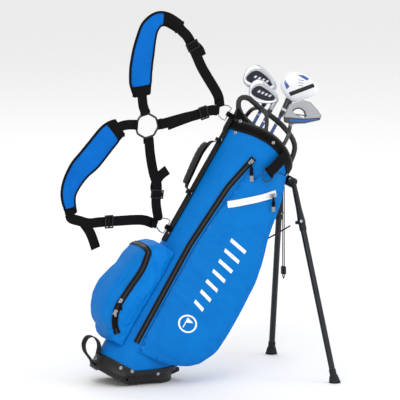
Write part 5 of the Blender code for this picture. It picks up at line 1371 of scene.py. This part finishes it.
@dataclass
class Hardware:
    """The carry handle, grab loop, towel loop with its ring, and the tie cord."""

    high: float = 630.0 * MM
    span: float = 133.0 * MM

    def spot(self, share: float, out: float) -> Vector:
        """A point of the carry handle, at a share of its length and a distance from its axis."""
        high = Vector((BAG.spine_u(self.high) - 4.0 * MM, 0.0, self.high))
        low_w = self.high - self.span
        low = Vector((BAG.spine_u(low_w) - 4.0 * MM, 0.0, low_w))
        return high.lerp(low, share) if not out else high + (low - high) * share + Vector((-out * MM, 0.0,
                                                                                           0.0))

    def handle(self) -> None:
        """The webbing of the handle and its moulded grip with finger ridges."""
        bow = smooth([self.spot(s, o) for s, o in ((0.0, 0), (0.02, 11), (0.1, 17.5), (0.3, 21), (0.5, 19.5),
                                                   (0.72, 17), (0.95, 14), (1.01, 9), (1.0, 0))], 6)
        widths = [(0, 5.0), (0.12, 14.0), (0.25, 20.0), (0.75, 20.0), (0.88, 14.0), (1.0, 5.0)]
        add_piece("handle_webbing", sweep(bow, ACROSS, lambda s: band_section(table(widths, s) * MM,
                                                                              1.8 * MM)),
                  WEBBING, "handle", ["handle_strap"])
        line = smooth([self.spot(s, o) for s, o in ((0.1, 24.5), (0.16, 26.6), (0.3, 29), (0.5, 27.5), (0.72,
                                                                                                        24.5),
                                                    (0.9, 22), (0.95, 20.5))], 14)
        sizes = [(0.0, 3.0), (0.06, 4.8), (0.2, 6.0), (0.6, 6.2), (0.9, 5.0), (1.0, 3.2)]
        wides = [(0.0, 9.5), (0.1, 12.0), (0.3, 12.6), (0.8, 12.4), (1.0, 9.5)]

        def section(share: float) -> list[tuple[float, float]]:
            ridge = 0.75 * MM * max(0.0, math.sin(share * math.pi * 22.0)) ** 2 if 0.12 < share < 0.9 else 0.0
            return round_section(table(wides, share) * MM, table(sizes, share) * MM - 0.7 * MM + ridge, 20)

        add_piece("handle_moulding", sweep(line, ACROSS, section), MOULDED, "handle", ["handle_grip"])

    def grab(self) -> None:
        """The stiff webbing loop at the bag's heel."""
        rear = BAG.rear_u(40.0 * MM, 3.6 * MM)
        route = [(1.6, 34), (8, 52), (20, 63), (36, 66), (48, 58), (48, 40), (36, 25), (20, 18), (7, 12),
                 (1.6, 6)]
        path = smooth([Vector((rear - o * MM, 0.0, w * MM)) for o, w in route], 6)
        rows = [stitches([p + ACROSS * side * 9.5 * MM + Vector((-0.2, 0.0, 0.9)).normalized() * 1.1 * MM
                          for p in path[10:26]], [ALONG] * 16) for side in (-1.0, 1.0)]
        add_piece("heel_loop", sweep(path, ACROSS, band_section(25.0 * MM, 2.2 * MM)), WEBBING, "bag",
                  ["grab_loop"])
        add_piece("heel_loop_stitches", merge(rows), MOULDED_GREY, "bag")

    def towel(self) -> None:
        """The towel loop and its ring."""
        refined("towel_webbing", "towel_loop", WEBBING, "bag", 0.7 * MM, 3)
        refined("towel_wire", "towel_ring", GUNMETAL, "towel_ring_body", 0.5 * MM, 4)

    def tie_cord(self) -> None:
        """The doubled elastic cord that hangs under the bracket, and its toggle."""
        exit_w = 660.0 * MM - 24.0 * MM - 14.0 * MM
        start = TO_WORLD @ Vector((128.0 * MM, 0.0, exit_w))
        x, z = start.x, start.z - 1.25 * MM - 0.6 * MM
        low = z - 234.0 * MM
        strand = [(4.6, z), (5.0, z - 20 * MM), (5.0, z - 80 * MM), (5.0, z - 150 * MM), (5.0, low + 12 * MM),
                  (4.2, low + 4.5 * MM)]
        route = [(-b, c) for b, c in strand] + [(0.0, low)] + list(reversed(strand))
        path = smooth([Vector((x, b * MM, c)) for b, c in route], 6)
        cord = add_piece("tie_cord_elastic", sweep(path, Vector((1.0, 0.0, 0.0)), round_section(1.25 * MM,
                                                                                                1.25 * MM,
                                                                                                10)),
                         WEBBING, "bag", ["tie_cord"], world=True)
        toggle = refined("cord_lock", "cord_toggle", MOULDED, "cord_toggle_body", 0.5 * MM, 3)

    def build(self) -> None:
        """Builds the handle and the small hardware."""
        for step in (self.tie_cord, self.handle, self.grab, self.towel):
            step()


# ------------------------------------------------------------------------------------------------------------
# Stand
# ------------------------------------------------------------------------------------------------------------
@dataclass
class Stand:
    """Bracket, legs, rods and the hinged foot."""

    flutes: int = 12
    tube_radius: float = 7.4 * MM

    def plain(self, node: str, finish: Finish) -> None:
        """Keeps a node's own shape and gives it a finish."""
        item = frame["nodes"][node]
        item.data.materials.clear()
        item.data.materials.append(make_material(finish))

    def leg(self, side: str) -> None:
        """One leg: moulded arm with its bolts, fluted tube, and rubber foot."""
        body = f"leg_{side}"
        joint = next(j for j in frame["joints"] if j["name"] == f"leg_{side}_fold")
        pivot, axis = Vector(joint["pos_m"]), Vector(joint["axis"]).normalized()
        refined(f"{body}_moulding", f"{body}_arm", MOULDED, body, 0.9 * MM, 4)
        low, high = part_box(f"{body}_foot")
        mount = Vector((FOOT_REACH, math.copysign(FOOT_SPREAD, low[1] + high[1]), 0.0))
        out = (mount - pivot).normalized()
        length = (mount - pivot).length
        count = self.flutes * 4
        across = axis
        section = []
        for k in range(count):
            a = 2.0 * math.pi * k / count
            r = self.tube_radius - 0.5 * MM * (0.5 + 0.5 * math.cos(a * self.flutes))
            section.append((r * math.cos(a), r * math.sin(a)))
        line = [pivot + out * lerp(0.1083, length - 0.034, k / 6.0) for k in range(7)]
        add_piece(f"{body}_fluted_tube", sweep(line, across, section), ANODISED, body, [f"{body}_tube"],
                  world=True)
        refined(f"{body}_rubber", f"{body}_foot", SOFT_RUBBER, body, 0.9 * MM, 3)
        bolts = []
        for sign in (-1.0, 1.0):
            bolts.append(turned([(4.2 * MM, 0.0), (4.2 * MM, 1.2 * MM), (3.2 * MM, 2.0 * MM),
                                 (1.8 * MM, 2.0 * MM), (1.6 * MM, 1.2 * MM), (0.0, 1.2 * MM)],
                                pivot + out * 0.1 + axis * sign * 10.3 * MM, axis * sign, 16))
        add_piece(f"{body}_bolts", merge(bolts), NICKEL, body, world=True)
        collar = [pivot + out * d for d in (0.1085, 0.112, 0.120, 0.1225)]
        widths = [(0.0, 8.6), (0.3, 9.0), (0.8, 9.0), (1.0, 8.0)]
        add_piece(f"{body}_collar", sweep(collar, axis, lambda s: round_section(table(widths, s) * MM,
                                                                              table(widths, s) * MM, 24)),
                  MOULDED, body, world=True)

    def bracket(self) -> None:
        """The bracket, with ribs across its face and bolt heads at its corners."""
        refined("stand_block", "stand_bracket", MOULDED, "bag", 1.0 * MM, 4)
        level = 636.0 * MM
        parts = []
        for v in (-18.0, -6.0, 6.0, 18.0):
            parts.append(block(Vector((144.4 * MM, v * MM, level - 2.0 * MM)), Vector((1.0 * MM, 0.0, 0.0)),
                               ACROSS * 1.2 * MM, ALONG * 9.0 * MM))
        add_piece("stand_block_ribs", merge(parts), MOULDED, "bag", bevel=0.5 * MM)
        bolts = [turned([(4.0 * MM, 0.0), (4.0 * MM, 1.4 * MM), (3.0 * MM, 2.2 * MM), (0.0, 2.4 * MM)],
                        Vector((125.0 * MM, side * 28.6 * MM, level + 2.0 * MM)), Vector((0.0, side, 0.0)),
                        16)
                 for side in (-1.0, 1.0)]
        add_piece("stand_block_bolts", merge(bolts), NICKEL, "bag")

    def foot(self) -> None:
        """The hinged foot, with its edges rounded."""
        refined("ground_foot", "base_foot", MOULDED, "foot", 1.2 * MM, 4)

    def build(self) -> None:
        """Builds the stand."""
        self.bracket()
        for side in ("left", "right"):
            self.leg(side)
            self.plain(f"push_rod_{side}", COATED_WIRE)
        self.plain("actuator_rod", COATED_WIRE)
        self.foot()


# ------------------------------------------------------------------------------------------------------------
# Clubs
# ------------------------------------------------------------------------------------------------------------
FACE_TURN = math.radians(-24.1)
BUTT, TIP, GRIP_LENGTH, SHAFT = 11.5 * MM, 8.0 * MM, 235.0 * MM, 4.3 * MM


@dataclass
class Club:
    """One club: its place in the bag, and how its head, shaft and grip are finished."""

    name: str
    u: float
    v: float
    shift: float
    ferrule: float
    shaft: Finish
    head: Finish
    neck: float = 0.0

    def place(self, x: float, y: float, w: float) -> Vector:
        """A point of the head: x across it, y through it and w above the bag's mouth level, in millimetres."""
        turned_x = x * math.cos(FACE_TURN) - y * math.sin(FACE_TURN)
        turned_y = x * math.sin(FACE_TURN) + y * math.cos(FACE_TURN)
        return Vector((self.u + turned_x * MM, self.v + turned_y * MM, BAG.length + w * MM))

    def flat(self, outline: Sequence[tuple[float, float]], y: float, thick: float) -> bmesh.types.BMesh:
        """A flat panel on the head's near face, from y to y plus thick, in millimetres."""
        points = [self.place(x - self.shift, y, w) for x, w in outline]
        return slab(points, self.place(0.0, thick, 0.0) - self.place(0.0, 0.0, 0.0))

    def stick(self) -> None:
        """The shaft with its bands, and the rubber grip with its rows of marks."""
        seat = BAG.floor_w(self.u + BUTT) + 7.0 * MM
        top = BAG.length + self.ferrule * MM
        low = seat + GRIP_LENGTH
        line = [Vector((self.u, self.v, lerp(low + 0.3 * MM, top - 0.3 * MM, k / 8.0))) for k in range(9)]
        add_piece(f"{self.name}_tube", sweep(line, ACROSS, round_section(SHAFT, SHAFT, 20)), self.shaft,
                  self.name, [f"{self.name}_shaft"])
        bands_made = [turned([(SHAFT + 0.2 * MM, 0.0), (SHAFT + 0.25 * MM, 0.2 * MM),
                              (SHAFT + 0.25 * MM, h * MM),
                              (SHAFT + 0.1 * MM, (h + 0.2) * MM)], Vector((self.u, self.v, top - d * MM)),
                              ALONG)
                      for d, h in ((30.0, 1.2), (33.0, 2.6), (120.0, 1.2), (123.0, 3.0))]
        add_piece(f"{self.name}_bands", merge(bands_made), COATED_ZIP, self.name)
        count = 60
        rings = []
        for k in range(count + 1):
            share = k / count
            r = lerp(BUTT, TIP, share) - (0.35 * MM if k % 4 == 0 and 4 < k < count - 3 else 0.0)
            if k in (0, count):
                r *= 0.86
            w = lerp(seat, seat + GRIP_LENGTH, share)
            rings.append([Vector((self.u + r * math.cos(a), self.v + r * math.sin(a), w))
                          for a in (2.0 * math.pi * j / 24 for j in range(24))])
        add_piece(f"{self.name}_rubber_grip", loft(rings), SOFT_RUBBER, self.name, [f"{self.name}_grip"])

    def head_piece(self, voxel: float = 1.1 * MM, rounds: int = 6) -> bpy.types.Object:
        """The head itself, with its edges rounded."""
        return refined(f"{self.name}_casting", f"{self.name}_head", self.head, self.name, voxel, rounds)


IRON_LONG_EDGE = ((-78, 128), (-92, 137), (-96, 154), (-94, 170), (-83, 185), (-65, 188), (-43, 182),
                  (-22, 172), (-12.6, 164), (-10.5, 154), (-30, 141), (-58, 130))
IRON_SHORT_EDGE = ((-55, 106), (-63, 115), (-68.6, 131), (-67.4, 144), (-60, 155), (-47, 159), (-31, 156),
                   (-10, 150.5), (5, 142), (7.8, 133), (7.2, 126), (-15, 112), (-36, 104))
WOOD_EDGE = ((2, 161.6), (-6, 174), (-7.5, 188), (-4, 201), (7, 213), (24, 221), (45, 222), (65.5, 216),
             (79, 209), (85, 200), (76, 181.6), (57, 160.5), (42.6, 148), (20, 152))
IRON_LONG_CAVITY = ((-84, 141), (-84, 159), (-76, 170.5), (-63, 174.5), (-39, 169.5), (-23.5, 160.5),
                    (-25, 156), (-50, 144.5))
IRON_SHORT_CAVITY = ((-57, 118.5), (-58, 129), (-52, 139.5), (-42, 143.5), (-19, 141.5), (0.5, 135.5),
                     (0, 129), (-18, 118.5), (-44, 115))


@dataclass
class Iron(Club):
    """A cavity-backed iron with a dark badge in its cavity."""

    edge: tuple = IRON_LONG_EDGE
    cavity: tuple = IRON_LONG_CAVITY

    def middle(self) -> tuple[float, float]:
        """Middle of the cavity."""
        count = len(self.cavity)
        return sum(x for x, _ in self.cavity) / count, sum(w for _, w in self.cavity) / count

    def blade(self) -> None:
        """The cast head: a rounded edge around a cavity, and the hosel."""
        centre = self.middle()
        outer, inner = spokes(self.edge, centre), spokes(self.cavity, centre)
        profile = ((outer, 0.90, 6.6), (outer, 0.97, 6.4), (outer, 1.0, 4.5), (outer, 1.0, -6.0),
                   (outer, 0.985, -8.0),
                   (outer, 0.95, -8.9), (inner, 1.06, -8.9), (inner, 1.02, -8.5), (inner, 1.0, -7.5),
                   (inner, 0.985, -4.2))
        rings = []
        for ring, size, y in profile:
            rings.append([self.place(centre[0] + (x - centre[0]) * size - self.shift, y,
                                     centre[1] + (w - centre[1]) * size) for x, w in ring])
        top = BAG.length + self.ferrule * MM
        hosel = turned([(5.6 * MM, 0.2 * MM), (5.9 * MM, 1.0 * MM), (6.6 * MM, 20.0 * MM),
                        (6.9 * MM, 32.0 * MM),
                        (5.0 * MM, 35.0 * MM)], Vector((self.u, self.v, top)), ALONG, 28)
        add_piece(f"{self.name}_casting", merge([loft(rings), hosel]), self.head, self.name,
                  [f"{self.name}_head"])

    def build(self) -> None:
        """Builds the iron."""
        self.blade()
        add_piece(f"{self.name}_badge", self.flat([(x * 0.985 + self.middle()[0] * 0.015,
                                                    w * 0.985 + self.middle()[1] * 0.015)
                                                         for x, w in spokes(self.cavity, self.middle(), 48)],
                                                         -5.0, 0.9), NAVY_BADGE, self.name, bevel=0.4 * MM)
        xs, ws = [x for x, _ in self.cavity], [w for _, w in self.cavity]
        left, right, low, high = min(xs), max(xs), min(ws), max(ws)
        bars = []
        for k in range(4):
            x = lerp(left + 12.0, right - 18.0, k / 3.0)
            base = lerp(low, high, 0.42 + 0.04 * k)
            bars.append(self.flat(((x, base), (x + 5.0, base), (x + 7.5, base + 7.0), (x + 2.5, base + 7.0)),
                                  -5.4, 0.7))
        add_piece(f"{self.name}_badge_bars", merge(bars), SATIN_CHROME, self.name, bevel=0.2 * MM)
        top = BAG.length + self.ferrule * MM
        ferrule = turned([(5.2 * MM, -8.0 * MM), (5.7 * MM, -6.0 * MM), (6.4 * MM, 0.5 * MM),
                          (6.4 * MM, 3.0 * MM), (5.9 * MM, 3.4 * MM)], Vector((self.u, self.v, top)), ALONG)
        add_piece(f"{self.name}_ferrule", ferrule, SLATE_LACQUER, self.name)
        self.stick()


@dataclass
class Wood(Club):
    """The fairway wood: a white sole with blue wedges and a dark bar, and a dark crown."""

    edge: tuple = WOOD_EDGE

    def build(self) -> None:
        """Builds the wood."""
        outer = spokes(self.edge, (36.0, 186.0), 96)
        profile = ((0.20, -13.6), (0.45, -13.5), (0.70, -12.9), (0.86, -11.7), (0.95, -9.4), (0.99, -6.0),
                   (1.0, -1.0),
                   (1.0, 5.0), (0.985, 11.0), (0.93, 18.0), (0.83, 24.0), (0.66, 29.0), (0.42, 32.0),
                   (0.15, 33.0))
        rings = [[self.place(36.0 + (x - 36.0) * size - self.shift, y, 186.0 + (w - 186.0) * size) for x,
                  w in outer]
                 for size, y in profile]
        neck = [self.place(0.0, y, w) for y, w in ((0.0, 112.2), (1.0, 124.0), (2.2, 140.0), (3.6, 158.0),
                                                   (4.6, 170.0))]
        sizes = [(0.0, 6.2), (0.25, 7.4), (0.5, 9.0), (0.75, 11.8), (1.0, 13.0)]
        stem = sweep(smooth(neck, 4), ACROSS, lambda s: round_section(table(sizes, s) * MM, table(sizes,
                                                                                                  s) * MM,
                                                                                                  28))
        piece = add_piece(f"{self.name}_casting", merge([loft(rings), stem]), self.head, self.name,
                          [f"{self.name}_head"])
        piece.data.materials.append(make_material(SLATE_LACQUER))
        normal = self.place(0.0, 1.0, 0.0) - self.place(0.0, 0.0, 0.0)
        origin = self.place(0.0, 0.0, 0.0)
        for polygon in piece.data.polygons:
            spot = TO_BAG @ polygon.center
            depth = (spot - origin).dot(normal) / (MM * MM)
            if depth > 7.0 or spot.z < BAG.length + 148.0 * MM:
                polygon.material_index = 1
        surface = Surface(piece)
        self.panel("bar", ((21.5, 163.5), (29.5, 157.5), (71.0, 205.5), (63.5, 212.0)), GRAPHITE_PANEL,
                   surface)
        self.panel("wedge_toe", ((19.0, 211.5), (33.0, 217.5), (49.0, 217.0), (47.0, 210.5)), BLUE_PANEL,
                   surface)
        self.panel("wedge_heel", ((-1.5, 186.5), (16.5, 177.0), (13.5, 167.5), (1.0, 177.5)), BLUE_PANEL,
                   surface)
        for k in range(3):
            w = 203.0 - 6.0 * k
            self.panel(f"line_{k}", ((27.0 + k * 3.0, w), (40.0 + k * 3.0 - k, w + 4.0), (40.5 + k * 2.0,
                                                                                          w + 2.4),
                                     (27.6 + k * 3.0, w - 1.6)), PULL_TIP, surface)
        ring = turned([(7.2 * MM, 0.0), (8.1 * MM, 0.4 * MM), (8.7 * MM, 5.4 * MM), (8.0 * MM, 6.0 * MM)],
                      self.place(0.0, 0.6, 118.0), ALONG)
        add_piece(f"{self.name}_neck_ring", ring, WHITE_LACQUER, self.name)
        top = BAG.length + 112.0 * MM
        ferrule = turned([(5.2 * MM, -10.0 * MM), (5.8 * MM, -7.0 * MM), (6.7 * MM, 0.5 * MM),
                          (6.7 * MM, 3.0 * MM), (6.2 * MM, 3.4 * MM)], Vector((self.u, self.v, top)), ALONG)
        add_piece(f"{self.name}_ferrule", ferrule, SLATE_LACQUER, self.name)
        self.stick()

    def panel(self, label: str, corners: Sequence[tuple[float, float]], finish: Finish,
              surface: Surface) -> None:
        """A painted panel with four corners, laid on the sole."""
        (ax, aw), (bx, bw), (cx, cw), (dx, dw) = corners
        bm = bmesh.new()
        rows = []
        steps = 10
        for j in range(steps + 1):
            row = []
            for i in range(steps + 1):
                s, t = i / steps, j / steps
                x = lerp(lerp(ax, bx, s), lerp(dx, cx, s), t)
                w = lerp(lerp(aw, bw, s), lerp(dw, cw, s), t)
                start = self.place(x - self.shift, -40.0, w)
                ahead = (self.place(0.0, 1.0, 0.0) - self.place(0.0, 0.0, 0.0)).normalized()
                hit, normal, _, _ = surface.tree.ray_cast(start, ahead)
                if hit is None:
                    hit, normal, _, _ = surface.tree.find_nearest(self.place(x - self.shift, -10.0, w))
                row.append(bm.verts.new(hit + normal * 0.25 * MM))
            rows.append(row)
        for a, b in zip(rows, rows[1:]):
            for i in range(steps):
                bm.faces.new((a[i], a[i + 1], b[i + 1], b[i]))
        add_piece(f"{self.name}_{label}", bm, finish, self.name)


@dataclass
class Putter(Club):
    """The mallet putter: a grey top with a sighting window, and a dark face with a blue insert."""

    def build(self) -> None:
        """Builds the putter."""
        piece = self.head_piece(1.1 * MM, 5)
        piece.data.materials.append(make_material(SLATE_LACQUER))
        for polygon in piece.data.polygons:
            spot = TO_BAG @ polygon.center
            if spot.z < BAG.length + 92.0 * MM:
                polygon.material_index = 1
        front = ((47.0, 94.0), (39.5, 103.5), (84.0, 122.8), (119.0, 145.0), (120.0, 139.0), (92.0, 115.0),
                 (64.0, 98.5))
        add_piece(f"{self.name}_face", self.flat(front, -13.6, 0.9), SLATE_LACQUER, self.name, bevel=0.4 * MM)
        insert = ((59.0, 100.5), (53.5, 106.0), (84.0, 119.5), (112.0, 138.5), (114.0, 136.0), (90.0, 116.5))
        add_piece(f"{self.name}_insert", self.flat(insert, -14.1, 0.7), BLUE_PANEL, self.name, bevel=0.3 * MM)
        line = [(62.5, 118.5), (66.0, 119.8), (84.0, 127.0), (88.0, 128.4)]
        sight = [self.place(x - self.shift, -13.2, w + 4.5) for x, w in line]
        arc = []
        for k in range(13):
            a = math.radians(5.0 + 170.0 * k / 12.0)
            arc.append(self.place(68.5 + 17.0 * math.cos(a) - self.shift, -13.2, 125.5 + 15.8 * math.sin(a)))
        side = self.place(1.0, 0.0, 0.0) - self.place(0.0, 0.0, 0.0)
        parts = [sweep(smooth(arc, 3), [side] * (12 * 3 + 1), round_section(1.5 * MM, 0.9 * MM, 8)),
                 sweep(sight, ALONG, round_section(1.3 * MM, 0.8 * MM, 8))]
        add_piece(f"{self.name}_sight", merge(parts), SLATE_LACQUER, self.name)
        self.stick()


CLUBS = (
    Iron("iron_long", 0.7 * MM, 45.0 * MM, -17.7, 112.0, BLUE_SHAFT, SATIN_CHROME, edge=IRON_LONG_EDGE,
         cavity=IRON_LONG_CAVITY),
    Iron("iron_short", 10.2 * MM, 17.0 * MM, 3.6, 102.0, BLUE_SHAFT, SATIN_CHROME, edge=IRON_SHORT_EDGE,
         cavity=IRON_SHORT_CAVITY),
    Wood("fairway_wood", 44.4 * MM, 22.0 * MM, 31.5, 112.0, BLUE_SHAFT, WHITE_LACQUER),
    Putter("putter", 60.0 * MM, -41.0 * MM, 71.5, 44.0, BLACK_SHAFT, GREY_HEAD),
)


# ------------------------------------------------------------------------------------------------------------
# Studio
# ------------------------------------------------------------------------------------------------------------
@dataclass
class Studio:
    """A pale floor, soft light and the camera."""

    right: Vector = field(default_factory=lambda: Vector((0.927, -0.3746, 0.0)))
    forward: Vector = field(default_factory=lambda: Vector((0.368, 0.911, -0.184)))
    span: float = 0.98

    def camera(self) -> None:
        """A long-lens camera that looks a little down on the bag's right-hand side."""
        up = self.right.cross(self.forward).normalized()
        centre = self.right * 0.0975 + up * 0.4378
        data = bpy.data.cameras.new("camera")
        data.type, data.ortho_scale, data.clip_end = "ORTHO", self.span, 20.0
        camera = bpy.data.objects.new("camera", data)
        turn = Matrix((self.right, up, -self.forward.normalized())).transposed()
        camera.matrix_world = Matrix.Translation(centre - self.forward * 4.0) @ turn.to_4x4()
        bpy.context.scene.collection.objects.link(camera)
        bpy.context.scene.camera = camera

    def floor(self) -> None:
        """The pale floor, just under the feet."""
        bm = bmesh.new()
        bmesh.ops.create_grid(bm, x_segments=1, y_segments=1, size=12.0)
        mesh = bpy.data.meshes.new("floor")
        bm.to_mesh(mesh)
        bm.free()
        floor = bpy.data.objects.new("floor", mesh)
        floor.location.z = -0.0005
        bpy.context.scene.collection.objects.link(floor)
        paint = bpy.data.materials.new("studio_floor")
        paint.use_nodes = True
        shader = paint.node_tree.nodes["Principled BSDF"]
        shader.inputs["Base Color"].default_value = linear("#FAFAFA")
        shader.inputs["Roughness"].default_value = 0.9
        mesh.materials.append(paint)

    def light(self) -> None:
        """A large key light, a fill from the other side, one from behind and a white surround."""
        world = bpy.data.worlds.new("studio")
        bpy.context.scene.world = world
        world.use_nodes = True
        background = world.node_tree.nodes["Background"]
        background.inputs["Color"].default_value = linear("#FFFFFF")
        background.inputs["Strength"].default_value = 0.85
        for name, place, size, power in (("key", (-1.4, -2.6, 2.6), 1.8, 40.0),
                                         ("fill", (2.6, -1.6, 1.4), 2.2, 16.0),
                                         ("back", (0.6, 2.6, 2.4), 2.0, 20.0)):
            data = bpy.data.lights.new(name, "AREA")
            data.size, data.energy = size, power
            lamp = bpy.data.objects.new(name, data)
            lamp.location = place
            aim = Vector((0.1, 0.0, 0.4)) - Vector(place)
            lamp.rotation_euler = aim.to_track_quat("-Z", "Y").to_euler()
            bpy.context.scene.collection.objects.link(lamp)

    def build(self) -> None:
        """Builds the studio."""
        bpy.context.scene.view_settings.view_transform = "Standard"
        self.camera()
        self.floor()
        self.light()


def main() -> None:
    """Builds the studio and every sub-assembly."""
    logging.basicConfig(level=logging.INFO, format="%(name)s: %(message)s")
    random.seed(7)
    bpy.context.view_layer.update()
    Studio().build()
    Hardware().build()
    for part in (Body(), SidePocket(), BallPocket(), Harness(), Stand()):
        part.build()
    for club in CLUBS:
        club.build()


with open("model.json") as file:
    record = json.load(file)
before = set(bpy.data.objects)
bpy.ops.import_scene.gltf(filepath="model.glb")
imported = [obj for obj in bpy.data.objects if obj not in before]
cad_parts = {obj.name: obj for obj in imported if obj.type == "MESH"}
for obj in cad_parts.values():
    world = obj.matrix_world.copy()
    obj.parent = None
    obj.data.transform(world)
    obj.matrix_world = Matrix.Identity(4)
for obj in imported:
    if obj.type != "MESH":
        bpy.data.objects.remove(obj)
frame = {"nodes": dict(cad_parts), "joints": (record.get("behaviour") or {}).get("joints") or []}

if __name__ == "__main__":
    main()
